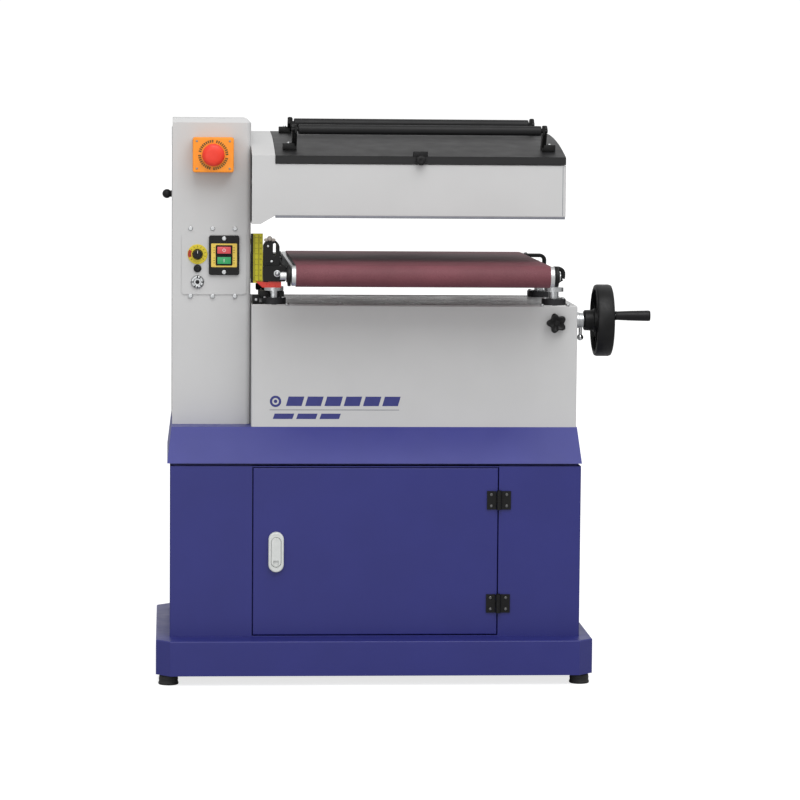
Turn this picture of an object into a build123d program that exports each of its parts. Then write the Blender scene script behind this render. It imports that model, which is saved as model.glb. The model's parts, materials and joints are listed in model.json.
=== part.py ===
from build123d import *
import math
import os

os.makedirs("parts", exist_ok=True)

# Drum sander on a closed cabinet. Millimetres, +Z up, the operator stands on the -Y side.
# While modelling, X = 0 is the middle of the plinth, Y = 0 the drum axis and Z = 0 the floor.
# write() moves every piece so that the origin is the middle of the machine's footprint.

# ---- stand ----
PLINTH_WIDTH = 800.0
PLINTH_DEPTH = 475.0
PLINTH_FRONT = -260.0
PLINTH_CORNER = 26.0
PLINTH_SHEET = 2.5
PLINTH_FLANGE = 42.0
FOOT_HEIGHT = 19.0
PLINTH_TOP = 83.0
FOOT_RADIUS = 18.5
FOOT_FROM_END = 23.0
FOOT_FROM_FRONT = 32.0
FOOT_BOLT_RADIUS = 5.0

CABINET_LEFT = -375.0
CABINET_RIGHT = 379.0
CABINET_FRONT = -206.0
CABINET_BACK = 161.0
CABINET_TOP = 397.5
SHEET = 1.8
DOOR_LEFT = -223.2
DOOR_RIGHT = 225.8
DOOR_GAP = 1.8
DOOR_DEPTH = 18.5
DOOR_POCKET = 22.0
DOOR_STOP = 14.0

COWL_BASE = 402.7
COWL_TOP = 464.5
COWL_OVERHANG = 3.0

HINGE_HEIGHT = 34.0
HINGE_LEAF = 22.0
HINGE_THICK = 2.8
HINGE_KNUCKLE = 5.0
HINGE_PIN = 2.0
HINGE_LEVELS = (144.0, 335.0)

LATCH_X = -181.0
LATCH_Z = 240.0
LATCH_WIDTH = 28.0
LATCH_HEIGHT = 74.0
LATCH_THICK = 9.0

# ---- drum, head and hood ----
DRUM_Z = 912.0
DRUM_RADIUS = 62.0
WRAP_THICK = 1.5
DRUM_LEFT = -149.0
DRUM_LENGTH = 458.0
SHAFT_RADIUS = 12.5
SHAFT_CLEARANCE = 0.05
PULLEY_X = -306.0
PULLEY_WIDTH = 22.0
DRUM_PULLEY_RADIUS = 45.0
MOTOR_PULLEY_RADIUS = 40.0
MOTOR_Z = 215.0
MOTOR_RADIUS = 72.0
MOTOR_LENGTH = 230.0
BELT_HEIGHT = 8.0

HEAD_LEFT = -185.0
HEAD_RIGHT = 347.4
HEAD_FRONT = -180.0
HEAD_BACK = 178.0
HEAD_BOTTOM = 853.4
HEAD_TOP = 948.4
ARM_BOTTOM = 838.0
HOOD_LIP = 963.0
HOOD_MIDDLE = 989.0
HOOD_REAR = 1003.0
HOOD_SHEET = 2.0
HOOD_HINGE_Y = 185.0
HOOD_HINGE_Z = 953.0
HOOD_HINGE_PIN = 3.0
PORT_RADIUS = 50.0
PORT_WALL = 2.0
PORT_LENGTH = 50.0
PORT_BOX_DEPTH = 32.0
PORT_BOX_WIDTH = 140.0
PORT_FLANGE_RADIUS = 56.0
PORT_FLANGE_THICK = 3.0
PORT_X = 81.0
HOOD_HINGES = (-110.0, 270.0)
HOOD_KNOB_X = 80.0
HOOD_KNOB_Z = 955.8

PRESSURE_RADIUS = 15.0
PRESSURE_Y = 97.0
PRESSURE_BELOW_DRUM = 2.0
PRESSURE_TRAVEL = 5.0
PRESSURE_AXLE = 6.0

RETURN_RADIUS = 9.0
RETURN_AXLE = 4.0
RETURN_LEFT = -142.0
RETURN_RIGHT = 304.0
RETURN_FRONT = (-146.0, 1010.5)
RETURN_REAR = (82.0, 1019.5)
RETURN_END_GAP = 2.5

# ---- column and controls ----
COLUMN_LEFT = -371.0
COLUMN_RIGHT = -227.0
COLUMN_FRONT = -101.0
COLUMN_TOP = 1029.0
COLUMN_SHEET = 2.0
COLUMN_ROUND = 9.0
COLUMN_BEVEL = 8.0
KNOB_Y = -60.0
KNOB_Z = 889.0

STOP_X = -297.0
STOP_Z = 962.5
STOP_WIDTH = 75.0
STOP_HEIGHT = 64.0
STOP_DEPTH = 42.0
MUSHROOM_RADIUS = 20.5
MUSHROOM_TRAVEL = 4.0
PANEL_X = -294.5
PANEL_WIDTH = 119.0
PANEL_BOTTOM = 705.0
PANEL_TOP = 816.5
PANEL_THICK = 2.0
PANEL_SCREW_ROWS = (702.0, 826.5)
PANEL_SCREW_COLUMNS = (-338.0, -297.0, -256.0)
DIAL_X = -325.0
DIAL_Z = 779.0
CAP_Z = 752.8
CONNECTOR_Z = 728.0
SWITCH_X = -276.2
SWITCH_Z = 777.5
SWITCH_WIDTH = 56.0
SWITCH_HEIGHT = 73.0
SWITCH_THICK = 6.0
BUTTON_WIDTH = 28.0
BUTTON_HEIGHT = 15.5
BUTTON_TRAVEL = 3.0
BUTTON_LEVELS = {"stop_button": 787.0, "start_button": 768.0}
SCALE_X = -225.5
SCALE_WIDTH = 21.0
SCALE_BOTTOM = 726.0
SCALE_TOP = 817.5

# ---- bed and lifting gear ----
BED_LEFT = -226.0
BED_RIGHT = 375.0
BED_FRONT = -152.0
BED_BACK = 160.0
BED_TOP = 690.0
BED_SHEET = 2.0
BED_LIP = 14.0
BED_CHAMFER = 4.0

POST_XS = (-185.0, 333.0)
POST_YS = (-127.0, 127.0)
POST_RADIUS = 9.0
POST_BOTTOM = 560.0
POST_FLANGE_RADIUS = 18.0
POST_FLANGE = (714.5, 722.0)
BEARING_RADIUS = 22.5
BEARING_HEIGHT = 12.0
NUT_RADIUS = 14.0
NUT_HEIGHT = 80.0
NUT_TOP = 683.0
SPROCKET_RADIUS = 17.0
SPROCKET_THICK = 4.0
SPROCKET_Z = 613.0
DRIVE_SPROCKET = 20.0
BEVEL_RADIUS = 20.0
BEVEL_DEPTH = 10.0
SCREW_CLEARANCE = 0.05
CHAIN_HEIGHT = 5.0
CHAIN_PITCH = 12.0
CHAIN_THICK = 4.0
CHAIN_GAP = 0.6

WHEEL_Y = -76.0
WHEEL_Z = 658.0
WHEEL_RADIUS = 67.0
WHEEL_RIM = (414.5, 447.0)
WHEEL_RIM_THICK = 10.0
WHEEL_WEB = (436.0, 442.0)
WHEEL_RIBS = 5
WHEEL_RIB_THICK = 3.0
WHEEL_HUB_RADIUS = 21.0
WHEEL_HUB = (395.5, 444.0)
WHEEL_SHAFT_RADIUS = 8.0
GRIP_RADIUS = 10.0
GRIP_BOLT = 4.0
GRIP = (448.0, 513.0)
GRIP_OFFSET = (-52.0, 12.0)
COLLAR_RADIUS = 13.0
CLAMP_FROM_BED = 14.5
CLAMP_ROD_RADIUS = 3.0
CLAMP_ROD = 18.0
CLAMP_BALL_RADIUS = 6.0
STAR_X = 335.0
STAR_RADIUS = 19.0

# ---- conveyor table ----
BELT_LEFT = -150.0
BELT_WIDTH = 460.0
BELT_THICK = 1.5
TABLE_TOP = 769.0
TABLE_LENGTH = 577.0
TABLE_ROLLER = 18.5
ROLLER_SHOW = 8.0
ROLLER_AXLE = 7.0
TABLE_TRAVEL = 75.0
SLIDER_THICK = 5.0
RAIL_THICK = 5.0
HOOP_HEIGHT = 36.0
HOOP_WIDTH = {-1: 26.0, 1: 64.0}
HOOP_BAR = 9.0
HOOP_DEPTH = 16.0
RAIL_HEIGHT = 24.0
GUARD = (-208.0, -178.0)
GUARD_TOP = 811.5
GUARD_ROUND = 14.0
GUARD_SLOT = (23.0, 5.5)
GUARD_SLOT_FROM_EDGE = 9.2
GUARD_SLOT_FROM_TOP = 17.0
GUARD_WAIST = 765.0
GUARD_LOW = 737.0
GUARD_Y = (-236.0, -212.0)
POINTER_Y = (-240.0, -205.0)

FIT_GAP = 0.3

# ---- places worked out from the sizes above ----
PLINTH_BACK = PLINTH_FRONT + PLINTH_DEPTH
BELT_RIGHT = BELT_LEFT + BELT_WIDTH
DRUM_RIGHT = DRUM_LEFT + DRUM_LENGTH
TABLE_HALF = TABLE_LENGTH / 2
ROLLER_Z = TABLE_TOP - BELT_THICK - TABLE_ROLLER
ROLLER_Y = TABLE_HALF - BELT_THICK - TABLE_ROLLER
PRESSURE_Z = DRUM_Z - DRUM_RADIUS - WRAP_THICK - PRESSURE_BELOW_DRUM + PRESSURE_RADIUS
COLUMN_BACK = BED_BACK + 1.0
PART_LEFT = -PLINTH_WIDTH / 2
PART_RIGHT = GRIP[1]
ORIGIN_X = (PART_LEFT + PART_RIGHT) / 2
DOOR_BOTTOM = PLINTH_TOP + 3.3
RAIL_LOW = TABLE_TOP - 10.0 - RAIL_HEIGHT
LIFT_SHAFT = (POST_XS[1] + SPROCKET_RADIUS - DRIVE_SPROCKET, WHEEL_Y)
DOOR_TOP = CABINET_TOP - 3.3
HINGE_X = DOOR_RIGHT + DOOR_GAP
HINGE_Y = CABINET_FRONT - HINGE_KNUCKLE - FIT_GAP


def write(node, *solids):
    """Write one node, as a single solid or as a group of separate ones."""
    placed = [Pos(-ORIGIN_X, 0, 0) * solid for solid in solids]
    shape = placed[0] if len(placed) == 1 else Compound(children=placed)
    export_step(shape, f"parts/{node}.step")


def block(x0, x1, y0, y1, z0, z1):
    """A box between two opposite corners."""
    middle = Pos((x0 + x1) / 2, (y0 + y1) / 2, (z0 + z1) / 2)
    return middle * Box(x1 - x0, y1 - y0, z1 - z0)


def rod_x(radius, x0, x1, y, z):
    return Pos((x0 + x1) / 2, y, z) * Rot(0, 90, 0) * Cylinder(radius, x1 - x0)


def rod_y(radius, y0, y1, x, z):
    return Pos(x, (y0 + y1) / 2, z) * Rot(90, 0, 0) * Cylinder(radius, y1 - y0)


def rod_z(radius, z0, z1, x, y):
    return Pos(x, y, (z0 + z1) / 2) * Cylinder(radius, z1 - z0)


def upright(x0, x1, y0, y1, z0, z1, radius):
    """A box whose four upright edges are rounded."""
    body = block(x0, x1, y0, y1, z0, z1)
    return fillet(body.edges().filter_by(Axis.Z), radius)


def side_profile(points, x0, x1):
    """A prism along X from an outline of (y, z) points."""
    outline = Polyline(*[(x0, y, z) for y, z in points], close=True)
    return extrude(make_face(outline), amount=x1 - x0, dir=(1, 0, 0))


def hood_section(x0, x1, inset, bottom):
    """The head's curved outline above a level, set in by a wall, as a prism along X."""
    front = HEAD_FRONT + inset
    back = HEAD_BACK - 4.0 - inset
    lip = HOOD_LIP - inset
    edges = [
        Line((x0, back, bottom), (x0, front, bottom)),
        Line((x0, front, bottom), (x0, front, lip)),
        ThreePointArc((x0, front, lip), (x0, -30.0, HOOD_MIDDLE - inset), (x0, back, HOOD_REAR - inset)),
        Line((x0, back, HOOD_REAR - inset), (x0, back, bottom)),
    ]
    return extrude(make_face(Wire(edges)), amount=x1 - x0, dir=(1, 0, 0))


# ---- stand ----


def cut_corner_plate(inset, z0, z1):
    """The plinth's plan with its corners cut, set in by a wall and raised to a height."""
    plan = Rectangle(PLINTH_WIDTH - 2 * inset, PLINTH_DEPTH - 2 * inset)
    plan = chamfer(plan.vertices(), max(PLINTH_CORNER - 0.586 * inset, 1.0))
    middle = (PLINTH_FRONT + PLINTH_BACK) / 2
    return Pos(0, middle, z0) * extrude(plan, z1 - z0)


def foot_places():
    x = PLINTH_WIDTH / 2 - FOOT_FROM_END
    ys = (PLINTH_FRONT + FOOT_FROM_FRONT, PLINTH_BACK - FOOT_FROM_FRONT)
    return [(side * x, y) for side in (-1, 1) for y in ys]


def make_plinth():
    tray = cut_corner_plate(0, FOOT_HEIGHT, PLINTH_TOP)
    top_edges = tray.faces().sort_by(Axis.Z)[-1].edges()
    tray = fillet(top_edges, PLINTH_SHEET)
    tray -= cut_corner_plate(PLINTH_SHEET, FOOT_HEIGHT + PLINTH_SHEET, PLINTH_TOP - PLINTH_SHEET)
    tray -= cut_corner_plate(PLINTH_FLANGE, FOOT_HEIGHT - 1, FOOT_HEIGHT + PLINTH_SHEET + 1)
    for x, y in foot_places():
        hole = rod_z(FOOT_BOLT_RADIUS + 0.3, FOOT_HEIGHT - 1, FOOT_HEIGHT + PLINTH_SHEET + 1, x, y)
        tray -= hole
    write("plinth", tray)


def make_feet():
    feet = []
    bolts = []
    for x, y in foot_places():
        foot = Pos(x, y, FOOT_HEIGHT / 2) * Cone(FOOT_RADIUS, FOOT_RADIUS - 1.5, FOOT_HEIGHT)
        foot -= rod_z(FOOT_BOLT_RADIUS, 7.0, FOOT_HEIGHT + 1, x, y)
        feet.append(foot)
        floor = FOOT_HEIGHT + PLINTH_SHEET
        bolt = rod_z(FOOT_BOLT_RADIUS, 7.0, floor + 14.0, x, y)
        nut = Pos(x, y, floor) * extrude(RegularPolygon(9.0, 6), 8.0)
        bolts.append(bolt + nut)
    write("feet", *feet)
    return bolts


def make_cabinet():
    shell = upright(CABINET_LEFT, CABINET_RIGHT, CABINET_FRONT, CABINET_BACK, PLINTH_TOP, CABINET_TOP, 3.0)
    shell -= block(
        CABINET_LEFT + SHEET, CABINET_RIGHT - SHEET, CABINET_FRONT + SHEET,
        CABINET_BACK - SHEET, PLINTH_TOP - 1, CABINET_TOP + 1,
    )
    left = DOOR_LEFT - DOOR_GAP
    right = DOOR_RIGHT + DOOR_GAP
    low = DOOR_BOTTOM - 1.5
    high = DOOR_TOP + 1.5
    stop = CABINET_FRONT + DOOR_POCKET
    shell += block(left - SHEET, right + SHEET, CABINET_FRONT, stop + SHEET, PLINTH_TOP, CABINET_TOP)
    shell -= block(left, right, CABINET_FRONT - 1, stop, low, high)
    shell -= block(
        left + DOOR_STOP, right - DOOR_STOP, stop - 1, stop + SHEET + 1, low + DOOR_STOP, high - DOOR_STOP
    )
    write("cabinet", shell)


def door_outline(depth_in, y1):
    """The door's pan, set in from its edges by a wall."""
    return block(
        DOOR_LEFT + depth_in, DOOR_RIGHT - depth_in, CABINET_FRONT + depth_in, y1,
        DOOR_BOTTOM + depth_in, DOOR_TOP - depth_in,
    )


def latch_cut():
    return stadium(LATCH_WIDTH - 6.0, LATCH_HEIGHT - 6.0, CABINET_FRONT - 1, CABINET_FRONT + 12)


def stadium(width, height, y0, y1):
    """An upright slot shape with round ends at the latch, as a solid along Y."""
    outline = Plane.XZ * SlotOverall(height, width, rotation=90)
    return Pos(LATCH_X, y1, LATCH_Z) * extrude(outline, y1 - y0)


def make_door():
    pan = door_outline(0, CABINET_FRONT + DOOR_DEPTH)
    front = pan.faces().sort_by(Axis.Y)[0].edges()
    pan = fillet(front, SHEET)
    pan -= door_outline(SHEET - 0.3, CABINET_FRONT + DOOR_DEPTH + 1)
    pan -= latch_cut()
    write("cabinet_door", pan)


def hinge_leaf(level, side):
    """One leaf with its knuckle rings: the fixed leaf has the outer two, the door's the middle one."""
    low = level - HINGE_HEIGHT / 2
    third = HINGE_HEIGHT / 3
    if side > 0:
        spans = [(low, low + third), (low + 2 * third, low + HINGE_HEIGHT)]
    else:
        spans = [(low + third + FIT_GAP, low + 2 * third - FIT_GAP)]
    plate_near = HINGE_X + side * (HINGE_KNUCKLE + FIT_GAP)
    plate_far = HINGE_X + side * HINGE_LEAF
    x0, x1 = sorted((plate_near, plate_far))
    y1 = CABINET_FRONT
    leaf = block(x0, x1, y1 - HINGE_THICK, y1, low, low + HINGE_HEIGHT)
    for z0, z1 in spans:
        lug0, lug1 = sorted((HINGE_X, plate_near))
        leaf += block(lug0, lug1, y1 - HINGE_THICK, y1 - FIT_GAP, z0, z1)
        leaf += rod_z(HINGE_KNUCKLE, z0, z1, HINGE_X, HINGE_Y)
    bore = HINGE_PIN + SHAFT_CLEARANCE
    leaf -= rod_z(bore, low - 1, low + HINGE_HEIGHT + 1, HINGE_X, HINGE_Y)
    return leaf


def make_hinges():
    fixed = []
    moving = []
    for level in HINGE_LEVELS:
        fixed.append(hinge_leaf(level, 1))
        moving.append(hinge_leaf(level, -1))
        low = level - HINGE_HEIGHT / 2
        pin = rod_z(HINGE_PIN, low, low + HINGE_HEIGHT, HINGE_X, HINGE_Y)
        head = rod_z(HINGE_KNUCKLE - 1.2, low + HINGE_HEIGHT, low + HINGE_HEIGHT + 1.5, HINGE_X, HINGE_Y)
        fixed.append(pin + head)
    write("fixed_hinges", *fixed, *hood_hinge_pins())
    write("door_hinge_leaves", *moving)


def make_latch():
    face = CABINET_FRONT - LATCH_THICK
    case = stadium(LATCH_WIDTH, LATCH_HEIGHT, face, CABINET_FRONT)
    case = fillet(case.faces().sort_by(Axis.Y)[0].edges(), 2.5)
    case += stadium(LATCH_WIDTH - 7.0, LATCH_HEIGHT - 7.0, CABINET_FRONT - 1, CABINET_FRONT + 8)
    case -= stadium(LATCH_WIDTH - 9.0, LATCH_HEIGHT - 18.0, face - 1, face + 9.5)
    lever = stadium(LATCH_WIDTH - 10.0, LATCH_HEIGHT - 19.0, face + 0.5, face + 7.0)
    lever = fillet(lever.faces().sort_by(Axis.Y)[0].edges(), 1.5)
    keyhole = LATCH_Z - LATCH_HEIGHT / 4 + 2
    lever -= block(LATCH_X - 5, LATCH_X + 5, face - 1, face + 4, keyhole - 9, keyhole + 1)
    write("latch_case", case)
    write("latch_lever", lever)


def cowl_frustum(inset, z_low, z_high):
    """The sloped cover: full size at the eave, set back to the machine body at the top."""
    low = Pos(0, 0, z_low) * plan_face(
        CABINET_LEFT - COWL_OVERHANG - 2 + inset, CABINET_RIGHT + COWL_OVERHANG - 2 - inset,
        CABINET_FRONT - COWL_OVERHANG + inset, CABINET_BACK + COWL_OVERHANG - inset,
    )
    high = Pos(0, 0, z_high) * plan_face(
        COLUMN_LEFT - 1.5 + inset, BED_RIGHT + 1.5 - inset, BED_FRONT - 1.0 + inset,
        COLUMN_BACK + 1.0 - inset,
    )
    return loft([low, high])


def plan_face(x0, x1, y0, y1):
    return Pos((x0 + x1) / 2, (y0 + y1) / 2) * Rectangle(x1 - x0, y1 - y0)


def make_cowl():
    cowl = cowl_frustum(0, COWL_BASE, COWL_TOP)
    cowl -= cowl_frustum(SHEET, COWL_BASE + SHEET, COWL_TOP - SHEET)
    skirt_left = CABINET_LEFT + SHEET + 1
    skirt_right = CABINET_RIGHT - SHEET - 1
    skirt_front = CABINET_FRONT + DOOR_POCKET + SHEET + 1
    skirt_back = CABINET_BACK - SHEET - 1
    skirt_low = COWL_BASE - 20
    cowl += block(skirt_left, skirt_right, skirt_front, skirt_back, skirt_low, COWL_BASE + SHEET)
    cowl -= block(
        skirt_left + SHEET, skirt_right - SHEET, skirt_front + SHEET, skirt_back - SHEET,
        skirt_low - 1, COWL_BASE + SHEET + 1,
    )
    cowl -= block(COLUMN_LEFT + 30, COLUMN_RIGHT - 30, -65, 65, COWL_TOP - 10, COWL_TOP + 1)
    write("cowl", cowl)


# ---- motor and V-belt ----


def v_pulley(radius, x, z):
    """A pulley on a shaft along X, with one V groove as deep as the belt."""
    body = rod_x(radius, x - PULLEY_WIDTH / 2, x + PULLEY_WIDTH / 2, 0, z)
    groove = [
        (radius - BELT_HEIGHT - 1, -3.5), (radius + 0.1, -6.5), (radius + 0.1, 6.5),
        (radius - BELT_HEIGHT - 1, 3.5),
    ]
    outline = Polyline(*[(x + side, 0, z + r) for r, side in groove], close=True)
    return body - revolve(make_face(outline), Axis((x, 0, z), (1, 0, 0)))


def make_motor():
    shaft_end = PULLEY_X - PULLEY_WIDTH / 2 - 3
    front = PULLEY_X + PULLEY_WIDTH / 2 + 14
    back = front + MOTOR_LENGTH
    case = rod_x(MOTOR_RADIUS - 6, front, back, 0, MOTOR_Z)
    case += rod_x(MOTOR_RADIUS, front + 4, front + 16, 0, MOTOR_Z)
    case += rod_x(MOTOR_RADIUS, back - 45, back, 0, MOTOR_Z)
    fins = 20
    for turn in range(fins):
        fin = block(front + 16, back - 45, MOTOR_RADIUS - 12, MOTOR_RADIUS, -1.2, 1.2)
        case += Pos(0, 0, MOTOR_Z) * (Rot(360 / fins * turn, 0, 0) * fin)
    foot_top = PLINTH_TOP + 8
    for x in (front + 35, back - 70):
        case += block(x, x + 30, -60, 60, PLINTH_TOP, foot_top)
        case += block(x + 5, x + 25, -45, 45, PLINTH_TOP, MOTOR_Z - MOTOR_RADIUS + 20)
    case += block(front + 60, front + 140, -45, 45, MOTOR_Z, MOTOR_Z + MOTOR_RADIUS + 22)
    case -= rod_x(SHAFT_RADIUS + SHAFT_CLEARANCE, front - 1, front + 40, 0, MOTOR_Z)
    write("motor", case)
    pulley = v_pulley(MOTOR_PULLEY_RADIUS, PULLEY_X, MOTOR_Z)
    pulley += rod_x(SHAFT_RADIUS, shaft_end, front + 38, 0, MOTOR_Z)
    write("motor_pulley", pulley)


def belt_ring(grow, width):
    """The belt's outline round both pulleys, in the plane of the pulleys."""
    top = DRUM_PULLEY_RADIUS + grow
    low = MOTOR_PULLEY_RADIUS + grow
    lean = math.asin((top - low) / (DRUM_Z - MOTOR_Z))
    sides = []
    for y, z, radius in ((0, DRUM_Z, top), (0, MOTOR_Z, low)):
        sides.append((y + radius * math.cos(lean), z - radius * math.sin(lean)))
    straight = side_profile(
        [sides[0], sides[1], (-sides[1][0], sides[1][1]), (-sides[0][0], sides[0][1])],
        PULLEY_X - width / 2, PULLEY_X + width / 2,
    )
    straight += rod_x(top, PULLEY_X - width / 2, PULLEY_X + width / 2, 0, DRUM_Z)
    straight += rod_x(low, PULLEY_X - width / 2, PULLEY_X + width / 2, 0, MOTOR_Z)
    return straight


def make_drive_belt():
    write("drive_belt", belt_ring(0, 6.0) - belt_ring(-BELT_HEIGHT, 8.0))


# ---- column ----


def make_column():
    shell = block(COLUMN_LEFT, COLUMN_RIGHT, COLUMN_FRONT, COLUMN_BACK, COWL_TOP, COLUMN_TOP)
    uprights = shell.edges().filter_by(Axis.Z).sort_by(Axis.X)
    shell = fillet(uprights[-2:], COLUMN_ROUND)
    shell = chamfer(shell.faces().sort_by(Axis.Z)[-1].edges().sort_by(Axis.X)[1:], COLUMN_BEVEL)
    hollow = block(
        COLUMN_LEFT + COLUMN_SHEET, COLUMN_RIGHT - COLUMN_SHEET, COLUMN_FRONT + COLUMN_SHEET,
        COLUMN_BACK - COLUMN_SHEET, COWL_TOP - 1, COLUMN_TOP - COLUMN_SHEET,
    )
    hollow = fillet(hollow.edges().filter_by(Axis.Z).sort_by(Axis.X)[-2:], COLUMN_ROUND - COLUMN_SHEET)
    hollow = chamfer(hollow.faces().sort_by(Axis.Z)[-1].edges().sort_by(Axis.X)[1:], COLUMN_BEVEL - 1.2)
    shell -= hollow
    shell -= rod_x(SHAFT_RADIUS + 12, COLUMN_RIGHT - 5, COLUMN_RIGHT + 5, 0, DRUM_Z)
    shell -= block(
        PANEL_X - PANEL_WIDTH / 2 + 9, PANEL_X + PANEL_WIDTH / 2 - 9, COLUMN_FRONT - 1, COLUMN_FRONT + 3,
        PANEL_BOTTOM + 9, PANEL_TOP - 9,
    )
    shell -= rod_y(11.2, COLUMN_FRONT - 1, COLUMN_FRONT + 3, STOP_X, STOP_Z)
    shell -= rod_x(6.2, COLUMN_LEFT - 1, COLUMN_LEFT + 3, KNOB_Y, KNOB_Z)
    cover = block(
        COLUMN_LEFT - 1.5, COLUMN_LEFT, COLUMN_FRONT + 12, COLUMN_BACK - 12, COWL_TOP + 14, COLUMN_TOP - 18,
    )
    cover = fillet(cover.edges().filter_by(Axis.X), 6.0)
    cover -= rod_x(6.2, COLUMN_LEFT - 3, COLUMN_LEFT + 3, KNOB_Y, KNOB_Z)
    write("column", shell, cover)


def make_cover_knob():
    """The quarter-turn catch of the side cover: a ball on a stem, with a cam inside."""
    stem = rod_x(6.0, COLUMN_LEFT - 4.0, COLUMN_LEFT + 10.0, KNOB_Y, KNOB_Z)
    ball = Pos(COLUMN_LEFT - 10.5, KNOB_Y, KNOB_Z) * Rot(0, 90, 0) * Sphere(8.5)
    cam = block(COLUMN_LEFT + 4, COLUMN_LEFT + 7, KNOB_Y - 7, KNOB_Y + 7, KNOB_Z - 8, KNOB_Z + 24)
    write("cover_knob", stem + ball + cam)


# ---- head, hood and drum ----


def make_head():
    arm = hood_section(COLUMN_RIGHT, HEAD_LEFT, 0, ARM_BOTTOM)
    low_corner = [
        (HEAD_LEFT - 28.0, ARM_BOTTOM - 1), (HEAD_LEFT + 1, ARM_BOTTOM - 1),
        (HEAD_LEFT + 1, HEAD_BOTTOM + 0.5),
    ]
    wedge = Polyline(*[(x, HEAD_FRONT - 1, z) for x, z in low_corner], close=True)
    wedge = extrude(make_face(wedge), amount=HEAD_BACK - HEAD_FRONT + 2, dir=(0, 1, 0))
    arm -= wedge
    hollow = hood_section(COLUMN_RIGHT - 1, HEAD_LEFT - 3, 3.0, ARM_BOTTOM + 3)
    arm -= hollow - Pos(0, 0, 3) * wedge
    front_wall = block(HEAD_LEFT, HEAD_RIGHT - 6, HEAD_FRONT, HEAD_FRONT + 2, HEAD_BOTTOM, HEAD_TOP)
    front_lip = block(HEAD_LEFT, HEAD_RIGHT - 6, HEAD_FRONT, HEAD_FRONT + 22, HEAD_BOTTOM, HEAD_BOTTOM + 2)
    top_lip = block(HEAD_LEFT, HEAD_RIGHT - 6, HEAD_FRONT, HEAD_FRONT + 12, HEAD_TOP - 2, HEAD_TOP)
    front = front_wall + front_lip + top_lip
    front = fillet(front.edges().filter_by(Axis.X).group_by(Axis.Y)[0], 1.9)
    rear = block(HEAD_LEFT, HEAD_RIGHT - 6, HEAD_BACK - 2, HEAD_BACK, HEAD_BOTTOM, HEAD_TOP)
    rear += block(HEAD_LEFT, HEAD_RIGHT - 6, HEAD_BACK - 22, HEAD_BACK, HEAD_BOTTOM, HEAD_BOTTOM + 2)
    port_z = (HEAD_BOTTOM + HEAD_TOP) / 2
    rear -= block(PORT_X - 60, PORT_X + 60, HEAD_BACK - 5, HEAD_BACK + 1, port_z - 38, port_z + 38)
    end = block(HEAD_RIGHT - 6, HEAD_RIGHT, HEAD_FRONT, HEAD_BACK, HEAD_BOTTOM, HEAD_TOP)
    end = fillet(end.edges().filter_by(Axis.Y).group_by(Axis.X)[-1], 2.5)
    end = fillet(end.edges().filter_by(Axis.Z).group_by(Axis.X)[-1], 2.5)
    plate_x = DRUM_RIGHT + 16
    plate = block(plate_x, plate_x + 4, HEAD_FRONT + 2, HEAD_BACK - 2, HEAD_BOTTOM + 2, HEAD_TOP - 2)
    head = arm + front + rear + end + plate
    head -= rod_x(SHAFT_RADIUS + 1, HEAD_LEFT - 60, plate_x + 5, 0, DRUM_Z)
    for side in (-1, 1):
        head -= rod_x(PRESSURE_AXLE + 7, plate_x - 1, plate_x + 5, side * PRESSURE_Y, PRESSURE_Z + 3)
    write("head_frame", head)


def shaft_bearings():
    """Two flange bearings of the drum shaft and the handwheel shaft's bearing collar."""
    reach = SHAFT_RADIUS + SHAFT_CLEARANCE
    left = rod_x(30, HEAD_LEFT, HEAD_LEFT + 6, 0, DRUM_Z)
    left += rod_x(22, HEAD_LEFT + 6, HEAD_LEFT + 20, 0, DRUM_Z)
    left -= rod_x(reach, HEAD_LEFT - 1, HEAD_LEFT + 21, 0, DRUM_Z)
    plate_x = DRUM_RIGHT + 16
    right = rod_x(30, plate_x - 6, plate_x, 0, DRUM_Z) + rod_x(22, plate_x - 12, plate_x - 6, 0, DRUM_Z)
    right -= rod_x(reach, plate_x - 13, plate_x + 1, 0, DRUM_Z)
    collar = rod_x(COLLAR_RADIUS + 5, BED_RIGHT, BED_RIGHT + 5, WHEEL_Y, WHEEL_Z)
    collar += rod_x(COLLAR_RADIUS, BED_RIGHT + 5, WHEEL_HUB[0] - 2, WHEEL_Y, WHEEL_Z)
    collar += rod_x(COLLAR_RADIUS, BED_RIGHT - 12, BED_RIGHT, WHEEL_Y, WHEEL_Z)
    collar -= rod_x(WHEEL_SHAFT_RADIUS + SHAFT_CLEARANCE, BED_RIGHT - 13, WHEEL_HUB[0], WHEEL_Y, WHEEL_Z)
    hole = CLAMP_ROD_RADIUS + 0.2
    collar -= rod_z(hole, WHEEL_Z - COLLAR_RADIUS - 6, WHEEL_Z, BED_RIGHT + CLAMP_FROM_BED, WHEEL_Y)
    return [left, right, collar]


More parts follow.
